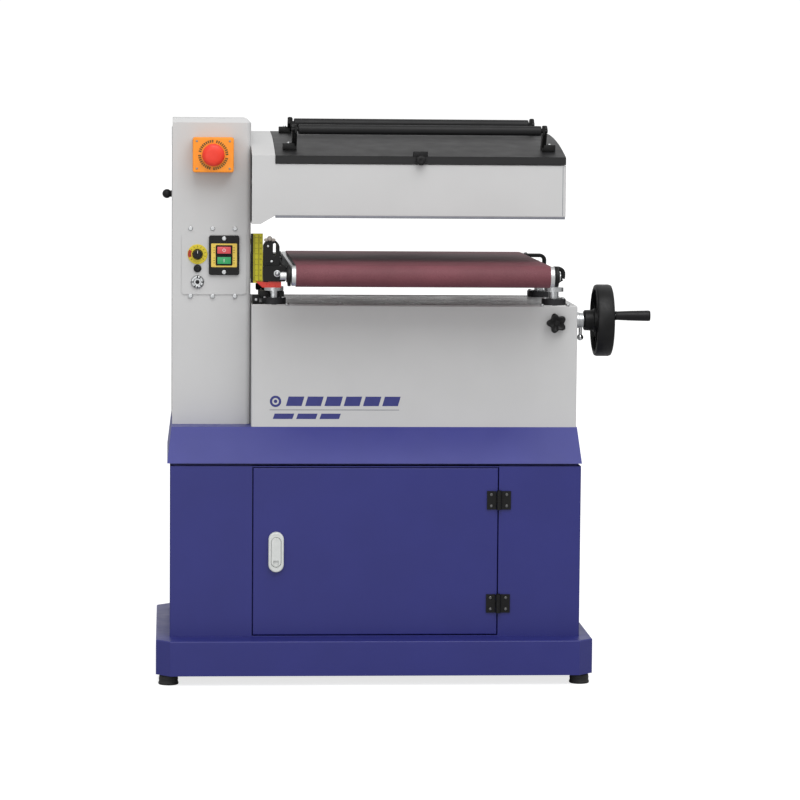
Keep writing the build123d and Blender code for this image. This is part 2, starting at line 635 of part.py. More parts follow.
def make_drum():
    tube = rod_x(DRUM_RADIUS, DRUM_LEFT, DRUM_RIGHT, 0, DRUM_Z)
    tube -= rod_x(DRUM_RADIUS - 6, DRUM_LEFT + 8, DRUM_RIGHT - 8, 0, DRUM_Z)
    for x0, x1 in ((DRUM_LEFT, DRUM_LEFT + 8), (DRUM_RIGHT - 8, DRUM_RIGHT)):
        for turn in range(4):
            vent = Pos(0, 0, DRUM_Z) * (Rot(90 * turn + 45, 0, 0) * rod_x(9, x0 - 1, x1 + 1, 0, 38))
            tube -= vent
    shaft_left = PULLEY_X - PULLEY_WIDTH / 2 - 4
    shaft = rod_x(SHAFT_RADIUS, shaft_left, DRUM_RIGHT + 22, 0, DRUM_Z)
    pulley = v_pulley(DRUM_PULLEY_RADIUS, PULLEY_X, DRUM_Z)
    write("drum", tube + shaft + pulley)
    wrap = rod_x(DRUM_RADIUS + WRAP_THICK, DRUM_LEFT + 1, DRUM_RIGHT - 1, 0, DRUM_Z)
    wrap -= rod_x(DRUM_RADIUS, DRUM_LEFT, DRUM_RIGHT, 0, DRUM_Z)
    write("abrasive_wrap", wrap)


def make_pressure_roller(name, y):
    """A sprung roller that holds the work down, with the two blocks that carry its axle."""
    left = DRUM_LEFT
    right = DRUM_RIGHT
    roller = rod_x(PRESSURE_RADIUS, left, right, y, PRESSURE_Z)
    roller += rod_x(PRESSURE_AXLE, left - 12, right + 12, y, PRESSURE_Z)
    write(f"{name}_roller", roller)
    pieces = []
    for x0 in (left - 14, right + 1.5):
        holder = block(x0, x0 + 12.5, y - 13, y + 13, PRESSURE_Z - 11, PRESSURE_Z + 22)
        holder -= rod_x(PRESSURE_AXLE + SHAFT_CLEARANCE, x0 - 1, x0 + 14, y, PRESSURE_Z)
        middle = x0 + 6.25
        coil = rod_z(5.0, PRESSURE_Z + 22, PRESSURE_Z + 50, middle, y)
        coil -= rod_z(3.4, PRESSURE_Z + 21, PRESSURE_Z + 51, middle, y)
        pieces += [holder, coil]
    write(f"{name}_carrier", *pieces)


def make_hood():
    left = HEAD_LEFT + 1.0
    right = HEAD_RIGHT - 0.6
    bottom = HEAD_TOP + 0.6
    hood = hood_section(left, right, 0, bottom)
    hollow = hood_section(left + HOOD_SHEET, right - HOOD_SHEET, HOOD_SHEET, bottom - 1)
    hood -= hollow
    lip = block(left, right, HEAD_FRONT - 2.2, HEAD_FRONT + 0.5, bottom, HOOD_LIP - 1.2)
    hood += lip
    knuckles = []
    for x in HOOD_HINGES:
        knuckle = rod_x(HOOD_HINGE_PIN + 3, x - 12, x + 12, HOOD_HINGE_Y, HOOD_HINGE_Z)
        knuckle += block(x - 12, x + 12, HEAD_BACK - 5, HOOD_HINGE_Y, HOOD_HINGE_Z + 1, HOOD_HINGE_Z + 6)
        knuckle += block(x - 12, x + 12, HEAD_BACK - 4, HEAD_BACK - 2.5, HOOD_HINGE_Z + 1, HOOD_HINGE_Z + 26)
        bore = HOOD_HINGE_PIN + SHAFT_CLEARANCE
        knuckle -= rod_x(bore, x - 13, x + 13, HOOD_HINGE_Y, HOOD_HINGE_Z)
        hood += knuckle
    hood -= rod_y(3.3, HEAD_FRONT - 5, HEAD_FRONT + 5, HOOD_KNOB_X, HOOD_KNOB_Z)
    write("hood", hood)


def hood_hinge_pins():
    """The hood's hinge pins, each held in two ears on the back of the head."""
    pins = []
    for x in HOOD_HINGES:
        pin = rod_x(HOOD_HINGE_PIN, x - 22, x + 22, HOOD_HINGE_Y, HOOD_HINGE_Z)
        for side in (-1, 1):
            ear = x + side * 17
            pin += block(ear - 4, ear + 4, HEAD_BACK, HOOD_HINGE_Y + 5, HOOD_HINGE_Z - 18, HOOD_HINGE_Z + 5)
        pins.append(pin)
    return pins


def make_hood_knob():
    front = HEAD_FRONT - 2.2
    knob = rod_y(3.0, front - 4, HEAD_FRONT + 2, HOOD_KNOB_X, HOOD_KNOB_Z)
    head = rod_y(9.5, front - 13, front - 0.4, HOOD_KNOB_X, HOOD_KNOB_Z)
    head = fillet(head.faces().sort_by(Axis.Y)[0].edges(), 2.5)
    for turn in range(8):
        cut = Rot(0, 45 * turn, 0) * rod_y(2.0, front - 14, front, 10.2, 0)
        head -= Pos(HOOD_KNOB_X, 0, HOOD_KNOB_Z) * cut
    write("hood_knob", knob + head)


def hood_height(y):
    """The hood's outer height at a depth, from the circle through its three arc points."""
    y1, z1 = HEAD_FRONT, HOOD_LIP
    y2, z2 = -30.0, HOOD_MIDDLE
    y3, z3 = HEAD_BACK - 4.0, HOOD_REAR
    a = y1 * (z2 - z3) - z1 * (y2 - y3) + y2 * z3 - y3 * z2
    b = (y1**2 + z1**2) * (z3 - z2) + (y2**2 + z2**2) * (z1 - z3) + (y3**2 + z3**2) * (z2 - z1)
    c = (y1**2 + z1**2) * (y2 - y3) + (y2**2 + z2**2) * (y3 - y1) + (y3**2 + z3**2) * (y1 - y2)
    centre_y = -b / (2 * a)
    centre_z = -c / (2 * a)
    radius = math.hypot(y1 - centre_y, z1 - centre_z)
    return centre_z + math.sqrt(radius**2 - (y - centre_y) ** 2)


def make_return_rollers():
    brackets = []
    for name, (y, z) in (("front_return_roller", RETURN_FRONT), ("rear_return_roller", RETURN_REAR)):
        roller = rod_x(RETURN_RADIUS, RETURN_LEFT, RETURN_RIGHT, y, z)
        roller += rod_x(RETURN_AXLE, RETURN_LEFT - 12, RETURN_RIGHT + 12, y, z)
        write(name, roller)
        for side, end in ((-1, RETURN_LEFT - RETURN_END_GAP), (1, RETURN_RIGHT + RETURN_END_GAP)):
            x0, x1 = sorted((end, end + side * 4.0))
            foot0, foot1 = sorted((end, end + side * 24.0))
            base_y = y + 22.0
            seat = max(hood_height(base_y - 11), hood_height(base_y + 11)) + 0.4
            arm = side_profile(
                [(base_y - 11, seat), (base_y + 11, seat), (y + 8, z + 9), (y - 8, z + 9), (y - 8, z - 6)],
                x0, x1,
            )
            foot = block(foot0, foot1, base_y - 11, base_y + 11, hood_height(base_y - 11) - 0.8, seat + 3)
            bracket = arm + foot - hood_section(HEAD_LEFT, HEAD_RIGHT, -0.02, HEAD_TOP)
            bracket -= rod_x(RETURN_AXLE + SHAFT_CLEARANCE, x0 - 1, x1 + 1, y, z)
            brackets.append(bracket)
    write("return_roller_brackets", *brackets)


def make_dust_port():
    """A shallow box on the back of the head with the flanged round hose port on it."""
    port_z = (HEAD_BOTTOM + HEAD_TOP) / 2
    neck = HEAD_BACK + PORT_BOX_DEPTH
    high = PORT_RADIUS + PORT_WALL
    wide = PORT_BOX_WIDTH / 2
    box = block(PORT_X - wide, PORT_X + wide, HEAD_BACK, neck, port_z - high, port_z + high)
    box = fillet(box.edges().filter_by(Axis.Y), 8.0)
    box = fillet(box.faces().sort_by(Axis.Y)[-1].edges(), 4.0)
    seat = neck + PORT_FLANGE_THICK
    box += rod_y(PORT_FLANGE_RADIUS, neck - 1, seat, PORT_X, port_z)
    box += rod_y(PORT_RADIUS, neck, seat + PORT_LENGTH, PORT_X, port_z)
    wide -= PORT_WALL
    high -= PORT_WALL
    box -= block(
        PORT_X - wide, PORT_X + wide, HEAD_BACK - 1, neck - PORT_WALL, port_z - high + 4, port_z + high - 4
    )
    box -= rod_y(PORT_RADIUS - PORT_WALL, HEAD_BACK + 5, seat + PORT_LENGTH + 1, PORT_X, port_z)
    write("dust_port", box)


# ---- controls ----


def make_stop():
    front = COLUMN_FRONT - STOP_DEPTH
    x0, x1 = STOP_X - STOP_WIDTH / 2, STOP_X + STOP_WIDTH / 2
    z0, z1 = STOP_Z - STOP_HEIGHT / 2, STOP_Z + STOP_HEIGHT / 2
    box = block(x0, x1, front, COLUMN_FRONT, z0, z1)
    box = fillet(box.edges().filter_by(Axis.Y), 4.0)
    box = fillet(box.faces().sort_by(Axis.Y)[0].edges(), 2.0)
    box -= block(x0 + 3, x1 - 3, front + 3, COLUMN_FRONT - 3, z0 + 3, z1 - 3)
    box -= rod_y(11.3, front - 1, front + 4, STOP_X, STOP_Z)
    box -= rod_y(9.0, COLUMN_FRONT - 4, COLUMN_FRONT + 1, STOP_X, STOP_Z)
    write("stop_box", box)
    stem = rod_y(11.0, front - 8, front + 12, STOP_X, STOP_Z)
    cap_back = front - MUSHROOM_TRAVEL - 3.0
    cap = rod_y(MUSHROOM_RADIUS, cap_back - 11, cap_back, STOP_X, STOP_Z)
    cap = fillet(cap.faces().sort_by(Axis.Y)[0].edges(), 6.0)
    cap = fillet(cap.faces().sort_by(Axis.Y)[-1].edges(), 1.5)
    write("stop_mushroom", stem + cap)


def make_controls():
    front = COLUMN_FRONT - PANEL_THICK
    panel = block(
        PANEL_X - PANEL_WIDTH / 2, PANEL_X + PANEL_WIDTH / 2, front, COLUMN_FRONT, PANEL_BOTTOM, PANEL_TOP
    )
    panel = fillet(panel.edges().filter_by(Axis.Y), 5.0)
    panel -= rod_y(5.2, front - 1, COLUMN_FRONT + 1, DIAL_X, DIAL_Z)
    panel -= rod_y(5.0, front - 1, COLUMN_FRONT + 1, DIAL_X, CAP_Z)
    panel -= rod_y(9.0, front - 1, COLUMN_FRONT + 1, DIAL_X, CONNECTOR_Z)
    panel -= block(
        SWITCH_X - 24, SWITCH_X + 24, front - 1, COLUMN_FRONT + 1, SWITCH_Z - 22, SWITCH_Z + 22
    )
    write("control_panel", panel)

    dial = rod_y(17.0, front - 1.2, front, DIAL_X, DIAL_Z)
    dial -= rod_y(5.2, front - 2, front + 1, DIAL_X, DIAL_Z)
    cap = rod_y(7.0, front - 3, front, DIAL_X, CAP_Z) + rod_y(4.8, front - 1, front + 8, DIAL_X, CAP_Z)
    ring = rod_y(12.0, front - 3, front, DIAL_X, CONNECTOR_Z)
    ring += rod_y(8.8, front - 1, front + 14, DIAL_X, CONNECTOR_Z)
    ring -= rod_y(6.5, front - 4, front + 2, DIAL_X, CONNECTOR_Z)
    gland = rod_y(11.0, COLUMN_BACK, COLUMN_BACK + 8, STOP_X, COWL_TOP + 60)
    gland += rod_y(8.0, COLUMN_BACK + 8, COLUMN_BACK + 22, STOP_X, COWL_TOP + 60)
    gland -= rod_y(4.0, COLUMN_BACK - 1, COLUMN_BACK + 23, STOP_X, COWL_TOP + 60)
    write("electrical_fittings", dial, cap, ring, gland)

    knob = rod_y(9.5, front - 14, front - 1.8, DIAL_X, DIAL_Z)
    knob = fillet(knob.faces().sort_by(Axis.Y)[0].edges(), 1.5)
    knob += rod_y(5.0, front - 2, front + 8, DIAL_X, DIAL_Z)
    knob -= block(DIAL_X - 0.6, DIAL_X + 0.6, front - 15, front - 13, DIAL_Z + 2, DIAL_Z + 10)
    write("speed_knob", knob)

    face = front - SWITCH_THICK
    plate = block(
        SWITCH_X - SWITCH_WIDTH / 2, SWITCH_X + SWITCH_WIDTH / 2, face, front,
        SWITCH_Z - SWITCH_HEIGHT / 2, SWITCH_Z + SWITCH_HEIGHT / 2,
    )
    plate = fillet(plate.edges().filter_by(Axis.Y), 4.0)
    plate = fillet(plate.faces().sort_by(Axis.Y)[0].edges(), 1.0)
    plate += block(SWITCH_X - 23, SWITCH_X + 23, front - 1, COLUMN_FRONT + 45, SWITCH_Z - 21, SWITCH_Z + 21)
    for level in BUTTON_LEVELS.values():
        plate -= button_block(level, face - 1, face + 12, FIT_GAP)
    write("switch_plate", plate)
    for name, level in BUTTON_LEVELS.items():
        button = button_block(level, face - 2.5, face + 12 - BUTTON_TRAVEL - 1, 0)
        button = fillet(button.faces().sort_by(Axis.Y)[0].edges(), 1.2)
        write(name, button)


def button_block(level, y0, y1, grow):
    wide = BUTTON_WIDTH / 2 + grow
    high = BUTTON_HEIGHT / 2 + grow
    return block(SWITCH_X - wide, SWITCH_X + wide, y0, y1, level - high, level + high)


def pan_screw(x, y, z):
    """A small pan-head screw seen from the front, its head on the surface at y."""
    head = rod_y(4.2, y - 2.4, y, x, z)
    head = fillet(head.faces().sort_by(Axis.Y)[0].edges(), 1.4)
    slot = block(x - 0.5, x + 0.5, y - 3, y - 1.4, z - 2.4, z + 2.4)
    return head - slot - Pos(x, 0, z) * Rot(0, 90, 0) * Pos(-x, 0, -z) * slot


def make_screws(bolts):
    screws = list(bolts)
    for x in PANEL_SCREW_COLUMNS:
        shank = rod_y(2.3, COLUMN_FRONT - PANEL_THICK, COLUMN_FRONT, x, PANEL_SCREW_ROWS[0])
        screws.append(pan_screw(x, COLUMN_FRONT - PANEL_THICK, PANEL_SCREW_ROWS[0]) + shank)
        screws.append(pan_screw(x, COLUMN_FRONT, PANEL_SCREW_ROWS[1]))
    switch_face = COLUMN_FRONT - PANEL_THICK - SWITCH_THICK
    for side in (-1, 1):
        screws.append(pan_screw(SWITCH_X, switch_face, SWITCH_Z + side * (SWITCH_HEIGHT / 2 - 5.5)))
    write("machine_screws", *screws)


def make_scale():
    x1 = SCALE_X + SCALE_WIDTH
    plate = block(SCALE_X, x1, COLUMN_FRONT + 5, COLUMN_FRONT + 8, SCALE_BOTTOM, SCALE_TOP)
    for z in (SCALE_BOTTOM + 15, SCALE_TOP - 15):
        plate += block(COLUMN_RIGHT, SCALE_X + 3, COLUMN_FRONT + 8, COLUMN_FRONT + 20, z - 5, z + 5)
        plate += block(COLUMN_RIGHT, SCALE_X + 3, COLUMN_FRONT + 6, COLUMN_FRONT + 9, z - 5, z + 5)
    write("height_scale", plate)


# ---- bed and lifting gear ----


def make_bed():
    housing = upright(BED_LEFT, BED_RIGHT, BED_FRONT, BED_BACK, COWL_TOP, BED_TOP, 3.0)
    housing = chamfer(housing.faces().sort_by(Axis.Z)[-1].edges(), 2.8)
    inside = block(
        BED_LEFT + BED_SHEET, BED_RIGHT - BED_SHEET, BED_FRONT + BED_SHEET, BED_BACK - BED_SHEET,
        COWL_TOP - 1, BED_TOP - BED_SHEET,
    )
    housing -= chamfer(inside.faces().sort_by(Axis.Z)[-1].edges(), 2.4)
    housing -= block(
        BED_LEFT + BED_LIP, BED_RIGHT - BED_LIP, BED_FRONT + BED_LIP, BED_BACK - BED_LIP,
        BED_TOP - 5, BED_TOP + 1,
    )
    for x in POST_XS:
        for y in POST_YS:
            housing -= rod_z(BEARING_RADIUS + 0.5, BED_TOP - 1.9, BED_TOP + 1, x, y)
    housing -= rod_x(COLLAR_RADIUS + 0.5, BED_RIGHT - 5, BED_RIGHT + 1, WHEEL_Y, WHEEL_Z)
    housing -= rod_y(4.2, BED_FRONT - 1, BED_FRONT + 5, STAR_X, WHEEL_Z)
    write("bed_housing", housing)

    top = block(
        BED_LEFT + BED_LIP + 0.5, BED_RIGHT - BED_LIP - 0.5, BED_FRONT + BED_LIP + 0.5,
        BED_BACK - BED_LIP - 0.5, BED_TOP - BED_SHEET, BED_TOP - 0.5,
    )
    top += block(
        BED_LEFT + BED_SHEET + 3, BED_RIGHT - BED_SHEET - 3, BED_FRONT + BED_SHEET + 3,
        BED_BACK - BED_SHEET - 3, BED_TOP - BED_SHEET - 3, BED_TOP - BED_SHEET,
    )
    for x in POST_XS:
        for y in POST_YS:
            top -= rod_z(POST_RADIUS + 3, BED_TOP - 8, BED_TOP + 1, x, y)
    write("bed_top_plate", top)


def tooth_ring(x, y, radius):
    """A sprocket ring on a lift nut or shaft, with the chain's pitch cut round its edge."""
    ring = rod_z(radius, SPROCKET_Z - SPROCKET_THICK / 2, SPROCKET_Z + SPROCKET_THICK / 2, x, y)
    teeth = round(2 * math.pi * radius / CHAIN_PITCH)
    for turn in range(teeth):
        notch = Rot(0, 0, 360 / teeth * turn) * rod_z(3.2, SPROCKET_Z - 5, SPROCKET_Z + 5, radius, 0)
        ring -= Pos(x, y, 0) * notch
    return ring


def make_lift():
    bearings = []
    posts = []
    names = {(0, 0): "front_left", (0, 1): "rear_left", (1, 0): "front_right", (1, 1): "rear_right"}
    for i, x in enumerate(POST_XS):
        for j, y in enumerate(POST_YS):
            seat = BED_TOP - 0.5
            bearing = rod_z(BEARING_RADIUS, seat, seat + BEARING_HEIGHT, x, y)
            bearing = fillet(bearing.faces().sort_by(Axis.Z)[-1].edges(), 1.5)
            bearing -= rod_z(POST_RADIUS + SCREW_CLEARANCE, seat - 1, seat + BEARING_HEIGHT + 1, x, y)
            bearings.append(bearing)
            post = rod_z(POST_RADIUS, POST_BOTTOM, POST_FLANGE[1], x, y)
            post += rod_z(POST_FLANGE_RADIUS, POST_FLANGE[0], POST_FLANGE[1], x, y)
            post += block(x - 8, x + 8, y - 8, y + 8, POST_FLANGE[1], RAIL_LOW)
            posts.append(post)
            nut = rod_z(NUT_RADIUS, NUT_TOP - NUT_HEIGHT, NUT_TOP, x, y) + tooth_ring(x, y, SPROCKET_RADIUS)
            nut -= rod_z(POST_RADIUS + SCREW_CLEARANCE, NUT_TOP - NUT_HEIGHT - 10, NUT_TOP + 1, x, y)
            write(f"lift_nut_{names[(i, j)]}", nut)
    write("flange_bearings", *bearings, *shaft_bearings())
    write("screw_posts", *posts)


def chain_track(grow, z0, z1):
    """The closed path round the four lift sprockets and the drive sprocket."""
    x0, x1 = POST_XS
    y0, y1 = POST_YS
    r = SPROCKET_RADIUS + grow
    track = block(x0, x1, y0 - r, y1 + r, z0, z1) + block(x0 - r, x1 + r, y0, y1, z0, z1)
    for x in POST_XS:
        for y in POST_YS:
            track += rod_z(r, z0, z1, x, y)
    return track


def make_chain():
    low = SPROCKET_Z - CHAIN_HEIGHT / 2
    high = SPROCKET_Z + CHAIN_HEIGHT / 2
    chain = chain_track(CHAIN_GAP + CHAIN_THICK, low, high) - chain_track(CHAIN_GAP, low - 1, high + 1)
    write("lift_chain", chain)


def make_lift_drive():
    """The bevel gear and sprocket shaft that the handwheel turns."""
    x, y = LIFT_SHAFT
    top = WHEEL_Z - BEVEL_RADIUS + BEVEL_DEPTH - 8
    gear = Pos(x, y, top - BEVEL_DEPTH / 2) * Cone(BEVEL_RADIUS, BEVEL_RADIUS - BEVEL_DEPTH, BEVEL_DEPTH)
    shaft = rod_z(7.0, COWL_TOP + 4, top - 5, x, y)
    write("lift_drive", gear + shaft + tooth_ring(x, y, DRIVE_SPROCKET))


def make_handwheel():
    x0, x1 = WHEEL_RIM
    web0, web1 = WHEEL_WEB
    inner = WHEEL_RADIUS - WHEEL_RIM_THICK
    rim = rod_x(WHEEL_RADIUS, x0, x1, WHEEL_Y, WHEEL_Z)
    rim = fillet(rim.faces().filter_by(Axis.X).edges(), 4.0)
    rim -= rod_x(inner, x0 - 1, web0, WHEEL_Y, WHEEL_Z)
    rim -= rod_x(inner, web1, x1 + 1, WHEEL_Y, WHEEL_Z)
    wheel = rim + rod_x(WHEEL_HUB_RADIUS, WHEEL_HUB[0], WHEEL_HUB[1], WHEEL_Y, WHEEL_Z)
    for turn in range(WHEEL_RIBS):
        half = WHEEL_RIB_THICK / 2
        rib = block(x0 + 8, web0 + 1, -half, half, WHEEL_HUB_RADIUS - 1, inner + 1)
        wheel += Pos(0, WHEEL_Y, WHEEL_Z) * (Rot(360 / WHEEL_RIBS * turn + 12, 0, 0) * rib)
    crank = rod_x(11.0, web0, x1, WHEEL_Y + GRIP_OFFSET[0], WHEEL_Z + GRIP_OFFSET[1])
    wheel += crank
    wheel -= rod_x(WHEEL_SHAFT_RADIUS, WHEEL_HUB[0] - 1, x1, WHEEL_Y, WHEEL_Z)
    wheel -= rod_x(GRIP_BOLT, x1 - 8, x1 + 1, WHEEL_Y + GRIP_OFFSET[0], WHEEL_Z + GRIP_OFFSET[1])
    bevel_x = LIFT_SHAFT[0] + BEVEL_RADIUS + 4
    shaft = rod_x(WHEEL_SHAFT_RADIUS, bevel_x, WHEEL_HUB[1], WHEEL_Y, WHEEL_Z)
    bevel = Cone(BEVEL_RADIUS - BEVEL_DEPTH, BEVEL_RADIUS, BEVEL_DEPTH)
    bevel = Pos(bevel_x, WHEEL_Y, WHEEL_Z) * Rot(0, 90, 0) * bevel
    grip_y = WHEEL_Y + GRIP_OFFSET[0]
    grip_z = WHEEL_Z + GRIP_OFFSET[1]
    bolt = rod_x(GRIP_BOLT, x1 - 8, GRIP[1] - 4, grip_y, grip_z)
    write("handwheel", wheel)
    write("handwheel_shaft", shaft + bevel, bolt)

    grip = rod_x(GRIP_RADIUS, GRIP[0], GRIP[1], grip_y, grip_z)
    grip = fillet(grip.faces().sort_by(Axis.X)[-1].edges(), 5.0)
    grip -= rod_x(GRIP_BOLT + SHAFT_CLEARANCE, GRIP[0] - 1, GRIP[1] - 3.5, grip_y, grip_z)
    write("handwheel_grip", grip)


def make_clamps():
    face = BED_FRONT
    star = rod_y(11.5, face - 20, face - 4, 0, 0)
    for turn in range(5):
        star += Rot(0, 72 * turn + 18, 0) * rod_y(5.4, face - 18, face - 6, STAR_RADIUS - 5.4, 0)
        arm = block(0, STAR_RADIUS - 5.4, face - 18, face - 6, -5.0, 5.0)
        star += Rot(0, 72 * turn + 18, 0) * arm
    star += rod_y(7.0, face - 6, face - 0.5, 0, 0) + rod_y(4.0, face - 1, face + 5, 0, 0)
    write("star_knob", Pos(STAR_X, 0, WHEEL_Z) * star)

    x = BED_RIGHT + CLAMP_FROM_BED
    stem_top = WHEEL_Z - WHEEL_SHAFT_RADIUS - 2
    lever = rod_z(CLAMP_ROD_RADIUS, stem_top - CLAMP_ROD, stem_top, x, WHEEL_Y)
    lever += Pos(x, WHEEL_Y, stem_top - CLAMP_ROD - CLAMP_BALL_RADIUS + 2) * Sphere(CLAMP_BALL_RADIUS)
    write("clamp_lever", lever)


# ---- conveyor table ----


def make_table():
    slider_top = TABLE_TOP - BELT_THICK - 0.2
    bed = block(
        BELT_LEFT + 6, BELT_RIGHT - 6, -ROLLER_Y + TABLE_ROLLER + 4, ROLLER_Y - TABLE_ROLLER - 4,
        slider_top - SLIDER_THICK, slider_top,
    )
    for x in POST_XS:
        inner = BELT_LEFT + 6 if x < 0 else BELT_RIGHT - 6
        side = 1 if x < 0 else -1
        rail0, rail1 = sorted((inner - side * 9, inner - side * (9 + RAIL_THICK)))
        rail = block(rail0, rail1, -ROLLER_Y + 26, ROLLER_Y - 26, RAIL_LOW, RAIL_LOW + RAIL_HEIGHT + 6)
        bed += rail
        for y in (-150, 0, 150):
            web0, web1 = sorted((rail0 if x < 0 else rail1, inner + side * 20))
            low = slider_top - SLIDER_THICK - 12
            bed += block(web0, web1, y - 6, y + 6, low, slider_top - SLIDER_THICK)
        for y in POST_YS:
            seat0, seat1 = sorted((x - side * 12, rail0 if x < 0 else rail1))
            bed += block(seat0, seat1, y - 14, y + 14, RAIL_LOW, RAIL_LOW + 6)
    write("table_frame", bed)


def roller_loop(grow, x0, x1):
    """The belt's outline round both table rollers."""
    r = TABLE_ROLLER + grow
    loop = block(x0, x1, -ROLLER_Y, ROLLER_Y, ROLLER_Z - r, ROLLER_Z + r)
    for side in (-1, 1):
        loop += rod_x(r, x0, x1, side * ROLLER_Y, ROLLER_Z)
    return loop


def make_conveyor_belt():
    gap = 0.15
    belt = roller_loop(BELT_THICK, BELT_LEFT, BELT_RIGHT) - roller_loop(gap, BELT_LEFT - 1, BELT_RIGHT + 1)
    write("conveyor_belt", belt)


def bracket_ends():
    """X spans of the bearing plates at the left and right ends of the table rollers."""
    left = BELT_LEFT - ROLLER_SHOW
    right = BELT_RIGHT + ROLLER_SHOW
    return {"left": (left - 9.0, left - 1.0), "right": (right + 1.0, right + 9.0)}


def make_table_rollers():
    ends = bracket_ends()
    for name, y in (("idler_roller", -ROLLER_Y), ("drive_roller", ROLLER_Y)):
        roller = rod_x(TABLE_ROLLER, BELT_LEFT - ROLLER_SHOW, BELT_RIGHT + ROLLER_SHOW, y, ROLLER_Z)
        reach = 24 if name == "drive_roller" else 11
        roller += rod_x(ROLLER_AXLE, ends["left"][0] - reach, ends["right"][1] + 2, y, ROLLER_Z)
        write(name, roller)


def make_roller_brackets():
    brackets = []
    for end, (x0, x1) in bracket_ends().items():
        for side in (-1, 1):
            y = side * ROLLER_Y
            disc = rod_x(19.0, x0, x1, y, ROLLER_Z)
            inward = -side
            y0, y1 = sorted((y, y + inward * 60))
            disc += block(x0, x1, y0, y1, ROLLER_Z - 10, ROLLER_Z + 10)
            disc -= rod_x(ROLLER_AXLE + SHAFT_CLEARANCE, x0 - 1, x1 + 1, y, ROLLER_Z)
            brackets.append(disc)
            if end == "right":
                brackets.append(take_up_hoop(x1, y, side))
    write("roller_brackets", *brackets)


def take_up_hoop(x, y, side):
    """The arched guard outside a right-hand bearing, open in the middle; the rear one reaches further out."""
    width = HOOP_WIDTH[side]
    hole_width = width - 2 * HOOP_BAR
    hole_height = HOOP_HEIGHT - 2 * HOOP_BAR
    outline = Plane.XZ * Pos(x, ROLLER_Z) * RectangleRounded(width, HOOP_HEIGHT, 12)
    hole = Plane.XZ * Pos(x, ROLLER_Z) * RectangleRounded(hole_width, hole_height, 3.5)
    hoop = extrude(outline - hole, HOOP_DEPTH)
    hoop = Pos(0, y - side * 22 + HOOP_DEPTH / 2, 0) * hoop
    return hoop - block(x - 40, x, -400, 400, 0, 2000)


def make_guard():
    """The black guard at the front left of the table, with its slot and its lower housing."""
    x0, x1 = GUARD
    y0, y1 = GUARD_Y
    top = GUARD_TOP
    low = GUARD_WAIST - 2 * GUARD_ROUND
    rounded = RectangleRounded(x1 - x0, top - low, GUARD_ROUND)
    outline = Plane.XZ * Pos((x0 + x1) / 2, (top + low) / 2) * rounded
    fin = extrude(outline, y1 - y0)
    fin = Pos(0, y1, 0) * fin
    fin -= block(x0 - 1, x1 + 1, y0 - 1, y1 + 1, low - 1, GUARD_WAIST)
    centre = Pos(x1 - GUARD_SLOT_FROM_EDGE, top - GUARD_SLOT_FROM_TOP)
    slot = Plane.XZ * centre * SlotOverall(*GUARD_SLOT, rotation=90)
    fin -= Pos(0, y1 + 1, 0) * extrude(slot, y1 - y0 + 2)
    fin -= block(x0 - 1, x1 - 16, y0 + 10, y1 + 1, GUARD_WAIST + 8, top - 12)
    housing = block(x0, bracket_ends()["left"][0], y0 - 6, y1 + 12, GUARD_LOW, GUARD_WAIST)
    housing = fillet(housing.edges().filter_by(Axis.Y), 3.0)
    guard = fin + housing
    write("table_guard", guard)
    tip = SCALE_X + 5
    high, under = GUARD_LOW - 1, GUARD_LOW - 11
    outline = [(tip, high), (tip + 12, under), (x1 + 3, under), (x1 + 3, high)]
    plate = Polyline(*[(x, POINTER_Y[0], z) for x, z in outline], close=True)
    pointer = extrude(make_face(plate), amount=POINTER_Y[1] - POINTER_Y[0], dir=(0, 1, 0))
    pointer += block(x0 + 10, x1, POINTER_Y[0], POINTER_Y[1], GUARD_LOW - 2, GUARD_LOW)
    write("height_pointer", pointer)


def make_gear_motor():
    """The conveyor's gear motor, hung behind the column on the drive roller's axle."""
    left = bracket_ends()["left"][0]
    box = block(left - 40, left - 0.5, ROLLER_Y - 40, ROLLER_Y + 20, ROLLER_Z - 28, ROLLER_Z + 16)
    box = fillet(box.edges().filter_by(Axis.X), 5.0)
    case = rod_x(26, left - 150, left - 40, ROLLER_Y - 12, ROLLER_Z - 8)
    case += rod_x(19, left - 158, left - 150, ROLLER_Y - 12, ROLLER_Z - 8)
    motor = box + case
    motor -= rod_x(ROLLER_AXLE + SHAFT_CLEARANCE, left - 26, left, ROLLER_Y, ROLLER_Z)
    write("gear_motor", motor)


make_plinth()
foot_bolts = make_feet()
make_cabinet()
make_door()
make_hinges()
make_latch()
make_cowl()
make_motor()
make_drive_belt()
make_column()
make_cover_knob()
make_head()
make_drum()
make_pressure_roller("infeed", -PRESSURE_Y)
make_pressure_roller("outfeed", PRESSURE_Y)
make_hood()
make_hood_knob()
make_return_rollers()
make_dust_port()
make_stop()
make_controls()
make_screws(foot_bolts)
make_scale()
make_bed()
make_lift()
make_chain()
make_lift_drive()
make_handwheel()
make_clamps()
make_table()
make_conveyor_belt()
make_table_rollers()
make_roller_brackets()
make_guard()
make_gear_motor()
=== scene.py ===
import json
import math

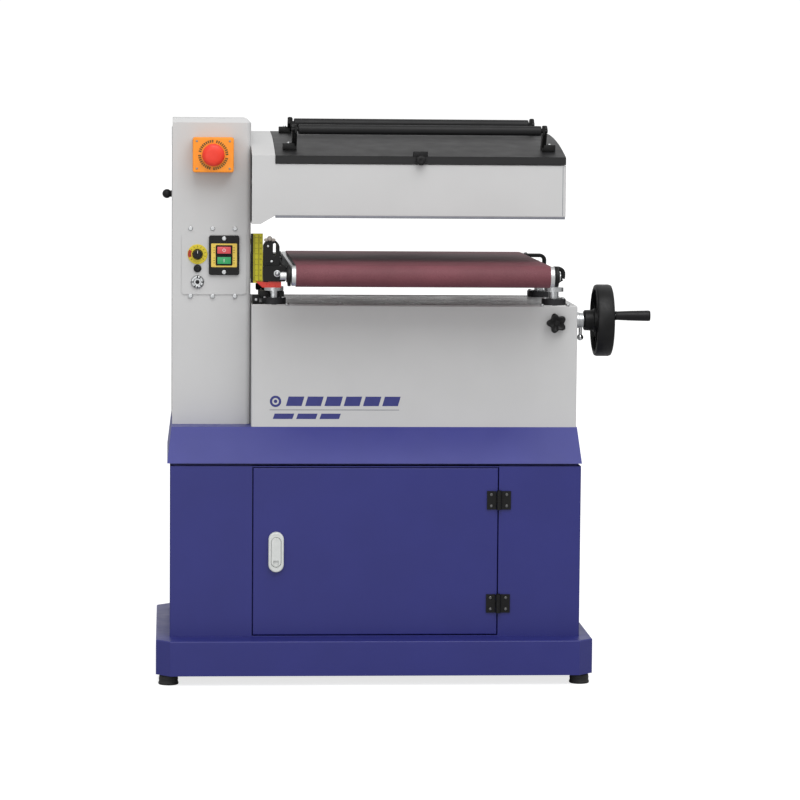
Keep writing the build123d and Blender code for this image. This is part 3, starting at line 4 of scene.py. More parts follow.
import bmesh
import bpy
import numpy as np
from mathutils import Matrix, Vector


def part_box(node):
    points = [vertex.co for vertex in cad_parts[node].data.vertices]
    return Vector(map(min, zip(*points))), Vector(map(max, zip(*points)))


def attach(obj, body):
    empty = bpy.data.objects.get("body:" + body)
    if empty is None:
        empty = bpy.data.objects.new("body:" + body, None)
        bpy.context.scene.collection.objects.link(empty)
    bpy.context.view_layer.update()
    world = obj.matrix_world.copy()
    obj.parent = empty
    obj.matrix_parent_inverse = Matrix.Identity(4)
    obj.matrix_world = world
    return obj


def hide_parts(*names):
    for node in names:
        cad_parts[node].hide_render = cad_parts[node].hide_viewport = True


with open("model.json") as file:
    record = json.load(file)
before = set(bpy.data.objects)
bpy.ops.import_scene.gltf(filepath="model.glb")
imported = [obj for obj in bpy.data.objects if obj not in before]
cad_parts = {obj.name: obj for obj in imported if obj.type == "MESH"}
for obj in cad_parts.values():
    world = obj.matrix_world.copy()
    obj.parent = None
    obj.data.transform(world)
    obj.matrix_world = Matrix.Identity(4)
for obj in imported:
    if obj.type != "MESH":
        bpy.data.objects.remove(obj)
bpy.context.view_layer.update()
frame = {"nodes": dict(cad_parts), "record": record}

MM = 0.001
TAU = 2 * math.pi

# Places in millimetres that no node's own box gives.
BED_TOP = 690.0
SCREW_SEAT = 701.5
FLANGE_HALF = 18.0
FOOT_RADIUS = 18.5
SLEEVE_LEFT = 324.0
DOOR_FACE = -206.0
HINGE_LEVELS = (144.0, 335.0)
HINGE_LEAF_THICK = 2.8
STAR_CENTRE = (278.5, 658.0)
CAP_LEVEL, CONNECTOR_LEVEL = 752.8, 728.0
STRIP_LEVELS = (849.6, 854.0)
STRIP_LEFT = -241.0
SEAM_LEVELS = (856.0, 946.0)
GUARD_NUT_LEVEL = 751.5
BRACKET_RESTS = (973.0, 1000.5)
BED_MARK_CENTRE = (-238.0, 511.5)

# ---------------------------------------------------------------- camera


def make_camera():
    """A long lens a little above the bed, turned a few degrees to the machine's right."""
    data = bpy.data.cameras.new("camera")
    data.sensor_width = 36.0
    data.lens = 153.0
    data.clip_start = 0.1
    data.clip_end = 200.0
    camera = bpy.data.objects.new("camera", data)
    bpy.context.collection.objects.link(camera)
    turn = Matrix.Rotation(math.radians(-3.916), 4, "Z")
    tilt = Matrix.Rotation(math.radians(90 - 5.196), 4, "X")
    roll = Matrix.Rotation(math.radians(0.466), 4, "Z")
    camera.matrix_world = Matrix.Translation((-0.43487, -6.37812, 1.08194)) @ turn @ tilt @ roll
    bpy.context.scene.camera = camera


make_camera()

# ---------------------------------------------------------------- colours and shader nodes


def linear(code):
    """An sRGB hex colour as linear red, green, blue and alpha."""
    values = [int(code[i:i + 2], 16) / 255 for i in (0, 2, 4)]
    return tuple(v / 12.92 if v <= 0.04045 else ((v + 0.055) / 1.055) ** 2.4 for v in values) + (1.0,)


def add(tree, kind, inputs=None, **settings):
    """Adds one shader node, sets its properties, and fills or links its inputs."""
    made = tree.nodes.new(kind)
    for name, value in settings.items():
        setattr(made, name, value)
    for name, value in (inputs or {}).items():
        if isinstance(value, bpy.types.NodeSocket):
            tree.links.new(value, made.inputs[name])
        else:
            made.inputs[name].default_value = value
    return made


def new_material(name, **shader):
    """A material with one Principled shader; returns it, its tree, its shader and its Object coordinates."""
    made = bpy.data.materials.new(name)
    made.use_nodes = True
    tree = made.node_tree
    tree.nodes.clear()
    body = add(tree, "ShaderNodeBsdfPrincipled", shader)
    out = add(tree, "ShaderNodeOutputMaterial")
    tree.links.new(body.outputs["BSDF"], out.inputs["Surface"])
    place = add(tree, "ShaderNodeTexCoord").outputs["Object"]
    return made, tree, body, place


def noise(tree, place, size, detail=2.0, roughness=0.5):
    """Cloudy noise whose blobs are about size millimetres across."""
    scale = 1 / (size * MM)
    settings = {"Vector": place, "Scale": scale, "Detail": detail, "Roughness": roughness}
    return add(tree, "ShaderNodeTexNoise", settings).outputs["Fac"]


def shades(tree, value, low, high, start=0.3, end=0.7):
    """A colour that runs from one hex value to another as a value goes from start to end."""
    ramp = add(tree, "ShaderNodeValToRGB", {"Fac": value})
    ramp.color_ramp.elements[0].position = start
    ramp.color_ramp.elements[0].color = linear(low)
    ramp.color_ramp.elements[1].position = end
    ramp.color_ramp.elements[1].color = linear(high)
    return ramp.outputs["Color"]


def span(tree, value, low, high, start=0.3, end=0.7):
    """A number that runs from low to high as a value goes from start to end."""
    settings = {"Value": value, "From Min": start, "From Max": end, "To Min": low, "To Max": high}
    return add(tree, "ShaderNodeMapRange", settings).outputs["Result"]


def raise_by(tree, body, height, depth, strength=1.0, under=None):
    """Bumps the shader by a height pattern that stands depth millimetres high."""
    inputs = {"Height": height, "Distance": depth * MM, "Strength": strength}
    if under is not None:
        inputs["Normal"] = under
    bump = add(tree, "ShaderNodeBump", inputs)
    tree.links.new(bump.outputs["Normal"], body.inputs["Normal"])
    return bump.outputs["Normal"]


def powder_coat(name, low, high, rough=0.42, peel=0.05):
    """Baked powder coat on sheet steel: even colour, satin gloss, a faint orange peel about 2 mm across."""
    made, tree, body, place = new_material(name, **{"Roughness": rough, "IOR": 1.5})
    cloud = noise(tree, place, 90.0, 3.0)
    tree.links.new(shades(tree, cloud, low, high), body.inputs["Base Color"])
    tree.links.new(
        span(tree, noise(tree, place, 35.0, 4.0), rough - 0.04, rough + 0.05), body.inputs["Roughness"]
    )
    peel_bump = raise_by(tree, body, noise(tree, place, 2.2, 1.0), peel, 0.35)
    raise_by(tree, body, noise(tree, place, 120.0, 0.0), 0.5, 0.12, peel_bump)
    return made


def moulded_plastic(name, low, high, rough=0.38, grain=0.6, depth=0.02):
    """Moulded plastic: nearly even colour, a fine spark-eroded grain and slightly uneven gloss."""
    made, tree, body, place = new_material(name, **{"Roughness": rough, "IOR": 1.48})
    tree.links.new(shades(tree, noise(tree, place, 14.0, 4.0), low, high), body.inputs["Base Color"])
    tree.links.new(
        span(tree, noise(tree, place, 5.0, 3.0), rough - 0.06, rough + 0.08), body.inputs["Roughness"]
    )
    raise_by(tree, body, noise(tree, place, grain, 2.0), depth, 0.5)
    return made


def metal(name, low, high, rough, mark=0.4, stretch=(1.0, 1.0, 1.0), depth=0.01, metallic=1.0):
    """Bare or plated metal: fine machining marks, stretched along one direction, in colour, gloss and
    bump."""
    made, tree, body, place = new_material(name, **{"Roughness": rough, "Metallic": metallic})
    lie = add(tree, "ShaderNodeMapping", {"Vector": place, "Scale": stretch}).outputs["Vector"]
    marks = noise(tree, lie, mark, 4.0, 0.6)
    tree.links.new(shades(tree, marks, low, high), body.inputs["Base Color"])
    tree.links.new(
        span(tree, noise(tree, place, 6.0, 3.0), rough - 0.07, rough + 0.1), body.inputs["Roughness"]
    )
    raise_by(tree, body, marks, depth, 0.4)
    return made


def abrasive(name, low, high, grit=0.9, rough=0.62):
    """Aluminium-oxide grains glued on cloth, about 0.25 mm real grain drawn at about 0.9 mm so that it
    shows."""
    made, tree, body, place = new_material(name, **{"Roughness": rough, "IOR": 1.6})
    cells = add(tree, "ShaderNodeTexVoronoi", {"Vector": place, "Scale": 1 / (grit * MM)})
    grains = cells.outputs["Distance"]
    colour = shades(tree, noise(tree, place, grit * 1.6, 3.0, 0.7), low, high, 0.32, 0.68)
    drift = shades(tree, noise(tree, place, 60.0, 4.0), "E8E8E8", "FFFFFF")
    mixed = add(tree, "ShaderNodeMix", data_type="RGBA", blend_type="MULTIPLY")
    tree.links.new(colour, mixed.inputs[6])
    tree.links.new(drift, mixed.inputs[7])
    mixed.inputs[0].default_value = 1.0
    tree.links.new(mixed.outputs[2], body.inputs["Base Color"])
    raise_by(tree, body, grains, 0.25, 0.35)
    return made


def duller(made, level):
    """Weakens a material's clear reflection."""
    shader = next(node for node in made.node_tree.nodes if node.type == "BSDF_PRINCIPLED")
    shader.inputs["Specular IOR Level"].default_value = level
    return made


def rubber(name, low, high, rough=0.7):
    """Moulded rubber: dull, nearly black, with a dusty bloom in patches."""
    made, tree, body, place = new_material(name, **{"Roughness": rough, "IOR": 1.52})
    tree.links.new(shades(tree, noise(tree, place, 9.0, 5.0, 0.6), low, high), body.inputs["Base Color"])
    raise_by(tree, body, noise(tree, place, 1.0, 3.0), 0.04, 0.5)
    return made


# Baked powder coat on folded sheet: deep even blue, satin, its sheen broken by a faint peel.
blue_coat = duller(powder_coat("blue_powder_coat", "26296F", "282B73", 0.4), 0.4)
# The same coat where the sheet slopes back, painted a paler blue for the light it catches from above: painted
# light, not a different paint.
lit_cowl_coat = duller(powder_coat("blue_coat_painted_lit_on_sloped_sheet", "36397F", "3A3D85", 0.4), 0.4)
# Powder coat on the column, head and bed: even light grey, satin.
grey_coat = powder_coat("light_grey_powder_coat", "BEBEBE", "C1C1C1", 0.45)
# Powder coat on brackets and hinges: near black, so edges show only by their narrow highlights.
black_coat = duller(powder_coat("black_powder_coat", "0B0B0B", "0F0F0F", 0.42), 0.25)
# Powder coat on the hood: charcoal with a broad soft sheen.
hood_coat = duller(powder_coat("charcoal_powder_coat", "171718", "1B1B1C", 0.48), 0.35)
# Powder coat on the return tubes: charcoal, duller than the hood.
tube_coat = duller(powder_coat("charcoal_tube_coat", "141415", "19191A", 0.45), 0.25)
# Injection-moulded nylon: near black with a fine grain that spreads the highlight.
black_plastic = duller(moulded_plastic("black_nylon", "0A0A0B", "111112", 0.4), 0.28)
# Smoothly coated plate: mid grey, glossy enough to mirror the dark machine over it.
top_coat = powder_coat("smooth_grey_coat", "A4A4A4", "A9A9A9", 0.28)
# Moulded ABS latch: pale grey, softly shiny.
pale_plastic = moulded_plastic("pale_grey_abs", "C8CBC8", "D2D4D2", 0.35)
# Moulded ABS switch box: strong orange, satin.
orange_plastic = moulded_plastic("orange_abs", "F28C12", "F6961A", 0.42)
# Moulded ABS mushroom: bright red with a soft round highlight.
red_plastic = moulded_plastic("red_abs", "E2321C", "E83822", 0.42)
# Moulded ABS button under its cap: green, shinier than the box.
green_plastic = moulded_plastic("green_abs", "128A50", "17985A", 0.3)
# Printed steel scale: olive yellow, satin.
yellow_print = moulded_plastic("printed_yellow_steel", "C4BC12", "D0C81E", 0.42)
# Enamelled steel pointer: deep glossy red.
red_enamel = moulded_plastic("red_enamel", "B8291D", "C53226", 0.3)
# Bright zinc plate: pale grey metal with faint mottling.
zinc = metal("zinc_plated_steel", "A9ABAD", "D8DADB", 0.32, 0.8)
# Sand-cast iron: dark grey, rough and pitted.
cast_iron = metal("dark_cast_iron", "2C2C2E", "3A3A3C", 0.55, 1.5, depth=0.08, metallic=0.7)
# Machined bronze: warm brown metal with turning marks.
bronze = metal("machined_bronze", "9A7238", "B78C4C", 0.35, 0.6, (1, 1, 6))
# Turned aluminium: pale metal with rings round it.
aluminium = metal("turned_aluminium", "B5B8BA", "D3D5D6", 0.3, 0.5, (6, 1, 1))
# Bright chrome plate: mirrors the room.
chrome = metal("bright_chrome_plate", "D8D9DA", "E6E7E8", 0.12, 0.5)
# White zinc on turned steel: nearly white, softly blurred.
roller_steel = metal("turned_white_zinc", "C9CBCB", "E2E3E3", 0.38, 0.5, (6, 1, 1))
# Printed label film: pale yellow.
switch_yellow = moulded_plastic("pale_yellow_label", "D8B84A", "E0C255", 0.42)
# Printed label film round the dial: stronger yellow.
dial_yellow = moulded_plastic("yellow_dial_label", "CDB81A", "D6C228", 0.42)
# Moulded ABS cap: washed-out red, shiny.
red_cap = moulded_plastic("faded_red_abs", "D04A50", "D9565B", 0.32)
# Moulded ABS cap: leaf green, shiny.
green_cap = moulded_plastic("leaf_green_abs", "2F9A5C", "38A566", 0.32)
# Screen ink: dark brown marks, matt.
mark_brown = moulded_plastic("dark_print_ink", "57480C", "63520F", 0.5)
# Screen ink: white marks, matt.
pale_mark = moulded_plastic("white_print_ink", "D8D4D4", "E4E0E0", 0.45)
# Screen ink: dark blue, matt.
print_blue = moulded_plastic("dark_blue_print_ink", "2A2E72", "2E3278", 0.45)
# Screen ink and the strip along the head's lower front edge: mid grey, matt.
print_grey = moulded_plastic("grey_print_ink", "6E7078", "787A82", 0.5)
# Worn plated screws: brownish grey with little shine.
dull_steel = metal("dull_screw_steel", "8A8480", "A09890", 0.5, 0.8, metallic=0.6)
# Oiled steel: dark metal with bright high spots.
chain_steel = metal("oiled_steel", "4A4A4A", "7A7A7A", 0.4, 0.9)
# Aluminium-oxide cloth: red-brown, speckled, with hardly any shine.
belt_cloth = duller(abrasive("red_brown_abrasive_cloth", "64303A", "7C464E"), 0.3)
# Moulded rubber: dull black with a dusty bloom.
tyre = rubber("black_rubber", "101010", "1A1A1A")

FINISHES = {
    "blue_paint": blue_coat, "grey_paint": grey_coat, "dark_paint": hood_coat, "black_paint": black_coat,
    "black_plastic": black_plastic, "pale_plastic": pale_plastic, "orange_plastic": orange_plastic,
    "red_plastic": red_plastic, "green_plastic": green_plastic, "yellow_print": yellow_print,
    "red_paint": red_enamel, "steel": zinc, "bronze": bronze, "cast_iron": cast_iron,
    "aluminium": aluminium, "rubber": tyre, "abrasive_cloth": belt_cloth,
}
# The cowl takes the blue coat painted paler for the light on its slope.
OWN_FINISH = {"bed_top_plate": top_coat, "cowl": lit_cowl_coat, "lift_chain": chain_steel}


def dress_nodes():
    """Gives each CAD node the finish of its material slot."""
    for part in frame["record"]["subparts"]:
        made = frame["nodes"][part["node"]]
        finish = OWN_FINISH.get(part["node"], FINISHES[part["material_slot"]])
        made.data.materials.clear()
        made.data.materials.append(finish)


dress_nodes()

# ---------------------------------------------------------------- mesh helpers


def ring_faces(rows, columns, closed_rows=False):
    """Quads of a grid whose columns run round a closed loop; the rows may close too."""
    last = rows if closed_rows else rows - 1
    row = np.arange(last)[:, None]
    column = np.arange(columns)[None, :]
    above = (row + 1) % rows
    right = (column + 1) % columns
    quads = np.stack(
        [row * columns + column, row * columns + right, above * columns + right, above * columns + column],
        -1
    )
    return quads.reshape(-1, 4).tolist()


def lofted(rows, closed=False):
    """A skin through closed loops of points; open ends get a flat cap. Returns points and faces."""
    rows = np.asarray(rows, float)
    count, size = rows.shape[:2]
    faces = ring_faces(count, size, closed)
    if not closed:
        faces.append(list(range(size))[::-1])
        faces.append([(count - 1) * size + i for i in range(size)])
    return rows.reshape(-1, 3), faces


def together(*parts):
    """Several skins as one list of points and faces."""
    points, faces, start = [], [], 0
    for part_points, part_faces in parts:
        points.append(part_points)
        faces += [[index + start for index in face] for face in part_faces]
        start += len(part_points)
    return np.vstack(points), faces


def piece(name, skin, finish, body, stands_for=(), sharp=35.0):
    """Makes a skin in millimetres into a closed piece in metres, smooth up to a sharp angle, riding on a
    body."""
    points, faces = skin
    mesh = bpy.data.meshes.new(name)
    mesh.from_pydata((np.asarray(points) * MM).tolist(), [], faces)
    work = bmesh.new()
    work.from_mesh(mesh)
    bmesh.ops.remove_doubles(work, verts=work.verts, dist=2e-6)
    bmesh.ops.dissolve_degenerate(work, edges=work.edges, dist=1e-7)
    bmesh.ops.recalc_face_normals(work, faces=work.faces)
    work.to_mesh(mesh)
    work.free()
    mesh.shade_smooth()
    mesh.set_sharp_from_angle(angle=math.radians(sharp))
    mesh.materials.append(finish)
    made = bpy.data.objects.new(name, mesh)
    bpy.context.collection.objects.link(made)
    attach(made, body)
    if stands_for:
        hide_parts(*stands_for)
    return made


def bevelled(made, width, segments=2):
    """Rounds a piece's sharp edges by a width in millimetres."""
    edge = made.modifiers.new("edge", "BEVEL")
    edge.width = width * MM
    edge.segments = segments
    edge.limit_method = "ANGLE"
    edge.angle_limit = math.radians(40)
    return made


def softened(profile, radius, steps=4):
    """An open outline with each inner corner replaced by a quadratic arc that starts radius before it."""
    profile = np.asarray(profile, float)
    made = [profile[:1]]
    t = np.linspace(0, 1, steps + 1)[:, None]
    for before, corner, after in zip(profile[:-2], profile[1:-1], profile[2:]):
        back = before - corner
        on = after - corner
        reach_back = min(radius, np.linalg.norm(back) * 0.45)
        reach_on = min(radius, np.linalg.norm(on) * 0.45)
        start = corner + back / np.linalg.norm(back) * reach_back
        end = corner + on / np.linalg.norm(on) * reach_on
        made.append((1 - t) ** 2 * start + 2 * t * (1 - t) * corner + t ** 2 * end)
    made.append(profile[-1:])
    return np.vstack(made)


def turned(profile, centre, axis, segments=48, closed=False, flutes=0, depth=0.0):
    """A profile of (along, radius) turned round an axis through centre: point = centre + along * axis +
    radius * (cos a, sin a).
    Flutes cut the radius by depth * (1 - cos(flutes * a)) / 2."""
    profile = np.asarray(profile, float)
    angle = np.linspace(0, TAU, segments, endpoint=False)
    along = np.repeat(profile[:, :1], segments, 1)
    cut = depth * (1 - np.cos(flutes * angle)) / 2
    radius = np.maximum(profile[:, 1:] - cut[None, :] * (profile[:, 1:] > depth), 0)
    across = radius * np.cos(angle)
    up = radius * np.sin(angle)
    order = {"X": (along, across, up), "Y": (across, along, up), "Z": (across, up, along)}[axis]
    return lofted(np.stack(order, -1) + np.asarray(centre, float), closed)


def rounded_outline(width, height, radius, steps=5):
    """Points of a rounded rectangle: each corner is a quarter circle, four corners in turn."""
    corners = []
    turn = np.linspace(0, math.pi / 2, steps)
    for quarter, (sx, sy) in enumerate(((1, 1), (-1, 1), (-1, -1), (1, -1))):
        angle = turn + quarter * math.pi / 2
        x = sx * (width / 2 - radius) + radius * np.cos(angle)
        y = sy * (height / 2 - radius) + radius * np.sin(angle)
        corners.append(np.stack([x, y], -1))
    return np.vstack(corners)


def slab(outline, low, high, axis, centre=(0, 0), edge=0.0, steps=3):
    """An outline pushed along an axis from low to high; its front and back edges shrink by a quarter
    circle of edge."""
    outline = np.asarray(outline, float)
    middle = outline.mean(0)
    reach = np.linalg.norm(outline - middle, axis=1).mean()
    turn = np.linspace(0, math.pi / 2, steps + 1) if edge else np.array([math.pi / 2])
    inset = edge * (1 - np.sin(turn))
    lift = edge * (1 - np.cos(turn))
    rows = []
    for level, shrink in list(zip(low + lift, inset)) + list(zip(high - lift[::-1], inset[::-1])):
        flat = middle + (outline - middle) * (1 - shrink / reach) + np.asarray(centre, float)
        depth = np.full(len(flat), level)
        order = {
            "X": (depth, flat[:, 0], flat[:, 1]), "Y": (flat[:, 0], depth, flat[:, 1]),
            "Z": (flat[:, 0], flat[:, 1], depth)
        }[axis]
        rows.append(np.stack(order, -1))
    return lofted(rows)


def box_skin(x, y, z, radius=1.0):
    """A box over three spans with rounded edges: a rounded outline in X and Z pushed along Y."""
    outline = rounded_outline(x[1] - x[0], z[1] - z[0], radius)
    return slab(outline, y[0], y[1], "Y", ((x[0] + x[1]) / 2, (z[0] + z[1]) / 2), radius * 0.8)


def window_skin(outer, inner, low, high, centre):
    """A flat frame in X and Z with a rounded window: outer and inner outlines of equal count, joined round
    as a closed ring."""
    rows = []
    for outline, level in ((outer, low), (outer, high), (inner, high), (inner, low)):
        flat = outline + np.asarray(centre, float)
        rows.append(np.stack([flat[:, 0], np.full(len(flat), level), flat[:, 1]], -1))
    return lofted(rows, True)


def bar_along(path, width, height, up):
    """A rounded bar along a path: at each point a flat section stands square to the path, its height along
    up."""
    path = np.asarray(path, float)
    tangent = np.gradient(path, axis=0)
    tangent /= np.linalg.norm(tangent, axis=1)[:, None]
    side = np.cross(tangent, np.asarray(up, float))
    side /= np.linalg.norm(side, axis=1)[:, None]
    rise = np.cross(side, tangent)
    section = rounded_outline(width, height, min(width, height) * 0.3)
    rows = path[:, None, :] + side[:, None, :] * section[None, :, :1] + rise[:, None, :] * section[None, :, 1:]
    return lofted(rows)


def strokes(segments, half, low, high):
    """Raised strokes on a face seen along Y: each straight segment in X and Z becomes a thin bar 2 * half
    wide."""
    segments = np.asarray(segments, float)
    run = segments[:, 1] - segments[:, 0]
    run /= np.linalg.norm(run, axis=1)[:, None]
    side = np.stack([-run[:, 1], run[:, 0]], -1) * half
    corners = np.stack(
        [segments[:, 0] - side, segments[:, 1] - side, segments[:, 1] + side, segments[:, 0] + side], 1
    )
    count = len(segments)
    near = np.stack([corners[..., 0], np.full((count, 4), low), corners[..., 1]], -1)
    far = np.stack([corners[..., 0], np.full((count, 4), high), corners[..., 1]], -1)
    points = np.concatenate([near, far], 1).reshape(-1, 3)
    box = np.array([[0, 1, 2, 3], [7, 6, 5, 4], [0, 4, 5, 1], [1, 5, 6, 2], [2, 6, 7, 3], [3, 7, 4, 0]])
    faces = (np.arange(count)[:, None, None] * 8 + box[None]).reshape(-1, 4).tolist()
    return points, faces


def ring_strokes(centre, radii, angles, sweep):
    """Segments of short arcs round a centre, one for each angle, spaced over the radii."""
    made = []
    for radius in radii:
        start = np.stack([centre[0] + radius * np.cos(angles), centre[1] + radius * np.sin(angles)], -1)
        end = np.stack(
            [centre[0] + radius * np.cos(angles + sweep), centre[1] + radius * np.sin(angles + sweep)], -1
        )
        made.append(np.stack([start, end], 1))
    return np.concatenate(made)


def span_of(node):
    """A CAD node's lowest and highest corners in millimetres."""
    low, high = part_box(node)
    return np.array(low) / MM, np.array(high) / MM


SCREW = softened([(0, 0), (-2.2, 0.01), (-2.4, 2.6), (-1.2, 4.2), (0, 4.2), (0.3, 4.2), (0.3, 0)], 0.9)


def screw_skin(x, y, z, size=1.0):
    """A pan head seen along Y: the profile runs out from the face to a dome and back."""
    return turned(SCREW * size, (x, y, z), "Y", 24)


# ---------------------------------------------------------------- controls on the column


def dress_stop_switch():
    """Marks round the emergency stop, its four cover screws and its domed red cap."""
    low, high = span_of("stop_box")
    x, z = (low[0] + high[0]) / 2, (low[2] + high[2]) / 2
    face = low[1]
    steps = np.arange(0, TAU, TAU / 40)
    worded = steps[(np.arange(40) % 10) < 9]
    marks = ring_strokes((x, z), (23.4, 25.1, 26.8), worded, 0.10)
    piece(
        "stop_ring_marks", strokes(marks, 0.8, face - 0.25, face + 0.3), mark_brown, "frame",
    )
    screws = [screw_skin(x + sx * 30.0, face + 0.3, z + sz * 25.0, 0.5) for sx in (-1, 1) for sz in (-1, 1)]
    piece("stop_box_screws", together(*screws), dull_steel, "frame")
    seam = window_skin(
        rounded_outline(75.4, 64.4, 4.0), rounded_outline(74.2, 63.2, 3.6), face + 13.0, face + 14.0, (x, z)
    )
    piece("stop_box_seam", seam, mark_brown, "frame")
    cap_low, cap_high = span_of("stop_mushroom")
    tip = cap_low[1]
    profile = [
        (tip, 0), (tip + 0.3, 9), (tip + 1.5, 15), (tip + 4.5, 19.4), (tip + 7.0, 20.4), (tip + 10.0, 20.5),
        (tip + 11.6, 19.6), (tip + 12.0, 15.0), (tip + 12.0, 11.0), (cap_high[1], 11.0), (cap_high[1], 0),
    ]
    cap = turned(softened(profile, 1.5), (x, 0, z), "Y", 64)
    piece("stop_cap", cap, red_plastic, "stop_mushroom", ("stop_mushroom",))


def dress_switch():
    """The start and stop switch: a yellow field, dark bezels and two rocker caps."""
    low, high = span_of("switch_plate")
    x, z = (low[0] + high[0]) / 2, (low[2] + high[2]) / 2
    face = low[1]
    field = window_skin(
        rounded_outline(47.5, 43.5, 1.5), rounded_outline(31.0, 37.5, 2.0), face - 0.3, face + 0.4, (x, z),
    )
    piece("switch_yellow_field", field, switch_yellow, "frame")
    for name, node, finish, slot in (
        ("stop", "stop_button", red_cap, "red_plastic"), (
            "start", "start_button", green_cap, "green_plastic"
        ),
    ):
        b_low, b_high = span_of(node)
        bx, bz = (b_low[0] + b_high[0]) / 2, (b_low[2] + b_high[2]) / 2
        wide, tall = b_high[0] - b_low[0], b_high[2] - b_low[2]
        bezel = window_skin(
            rounded_outline(wide + 2.6, tall + 3.0, 2.0), rounded_outline(wide + 0.4, tall + 0.4, 1.4),
            face - 1.4, face + 1.0, (bx, bz),
        )
        bevelled(piece(name + "_bezel", bezel, black_plastic, "frame"), 0.4)
        rim = box_skin((b_low[0], b_high[0]), (b_low[1] + 0.8, b_high[1]), (b_low[2], b_high[2]), 1.2)
        piece(name + "_button_rim", rim, black_plastic, node, (node,))
        cap = box_skin(
            (b_low[0] + 1.5, b_high[0] - 1.5), (b_low[1], b_low[1] + 3.0),
            (b_low[2] + 1.4, b_high[2] - 1.4), 0.9
        )
        piece(name + "_button_cap", cap, finish, node)
    bar = [((bx, bz - 3.0), (bx, bz + 3.0))]
    piece(
        "start_mark", strokes(bar, 0.5, b_low[1] - 0.15, b_low[1] + 0.3), pale_mark, "start_button",
    )
    b_low, b_high = span_of("stop_button")
    bx, bz = (b_low[0] + b_high[0]) / 2, (b_low[2] + b_high[2]) / 2
    ring = window_skin(
        rounded_outline(6, 6, 2.99), rounded_outline(4.4, 4.4, 2.19), b_low[1] - 0.15, b_low[1] + 0.3,
        (bx, bz)
    )
    piece("stop_mark", ring, pale_mark, "stop_button")
    ticks = [
        ((x + sx * 19.5, z + dz), (x + sx * 16.8, z + dz)) for sx in (-1, 1)
        for dz in (-14, -9.5, -5, 5, 9.5, 14)
    ]
    piece(
        "switch_field_marks", strokes(ticks, 0.5, face - 0.45, face - 0.2), mark_brown, "frame",
    )


def dress_dial():
    """The belt speed dial: a yellow plate with a red wedge and marks, and a fluted knob with a pointer
    line."""
    low, high = span_of("speed_knob")
    x, z = (low[0] + high[0]) / 2, (low[2] + high[2]) / 2
    panel_face = span_of("control_panel")[0][1]
    face = panel_face - 1.2
    plate = turned(
        softened(
            [
                (face + 0.2, 9.8), (face - 0.3, 9.8), (face - 0.3, 18.2), (face + 1.1, 18.4),
                (face + 1.1, 9.8)
            ],
            0.3
        ),
        (x, 0, z), "Y", 72
    )
    piece("dial_plate", plate, dial_yellow, "frame")
    angles = np.radians(np.arange(-40, 221, 26))
    ticks = [
        ((x + 12.5 * math.cos(a), z + 12.5 * math.sin(a)), (x + 16.0 * math.cos(a), z + 16.0 * math.sin(a)))
        for a in angles
    ]
    piece("dial_ticks", strokes(ticks, 0.4, face - 0.45, face - 0.2), mark_brown, "frame")
    wedge = ring_strokes(
        (x, z), (12.4, 13.6, 14.8, 16.0, 17.0), np.radians([150.0, 160.0, 170.0, 180.0, 190.0]),
        math.radians(11)
    )
    piece("dial_red_wedge", strokes(wedge, 0.7, face - 0.4, face - 0.2), red_enamel, "frame")
    tip = low[1]
    profile = [
        (tip + 0.6, 0), (tip, 3.0), (tip, 8.0), (tip + 8.0, 9.0), (tip + 12.2, 9.5), (tip + 12.2, 5.0),
        (high[1], 5.0), (high[1], 0)
    ]
    knob = turned(softened(profile, 0.9), (x, 0, z), "Y", 96, flutes=16, depth=0.5)
    piece("dial_knob", knob, black_plastic, "speed_knob", ("speed_knob",))
    piece(
        "dial_knob_line", strokes([((x, z + 2.0), (x, z + 7.2))], 0.45, tip - 0.1, tip + 0.4), pale_mark,
        "speed_knob"
    )


def dress_fittings():
    """The blanking cap's dome and the round connector's plated ring with its key slots."""
    low, high = span_of("speed_knob")
    x = low[0] * 0.5 + high[0] * 0.5
    face = span_of("control_panel")[0][1]
    cap_z, ring_z = CAP_LEVEL, CONNECTOR_LEVEL
    dome = turned(
        softened(
            [
                (face - 3.4, 0), (face - 3.8, 4.0), (face - 2.6, 6.4), (face - 0.2, 7.3), (face + 0.1, 7.3),
                (face + 0.1, 0)
            ],
            0.8
        ),
        (x, 0, cap_z), "Y", 40
    )
    piece("blanking_cap", dome, black_plastic, "frame")
    ring = turned(
        softened(
            [
                (face - 3.2, 6.4), (face - 4.4, 7.2), (face - 4.4, 10.2), (face - 2.4, 12.2),
                (face + 0.1, 12.2), (face + 0.1, 6.4)
            ],
            0.6
        ),
        (x, 0, ring_z), "Y", 64
    )
    piece("connector_ring", ring, zinc, "frame")
    slots = [
        (
            (x + 7.4 * math.cos(a), ring_z + 7.4 * math.sin(a)),
            (x + 11.4 * math.cos(a), ring_z + 11.4 * math.sin(a))
        )
        for a in np.radians([0, 60, 90, 180, 240, 270, 315])
    ]
    piece(
        "connector_slots", strokes(slots, 1.1, face - 4.7, face - 3.8), black_plastic, "frame",
    )
    core = turned(
        softened(
            [(face - 3.6, 0), (face - 3.6, 2.6), (face - 3.0, 4.4), (face + 1.0, 5.0), (face + 1.0, 0)], 0.4
        ),
        (x, 0, ring_z), "Y", 40
    )
    piece("connector_core", core, black_plastic, "frame")


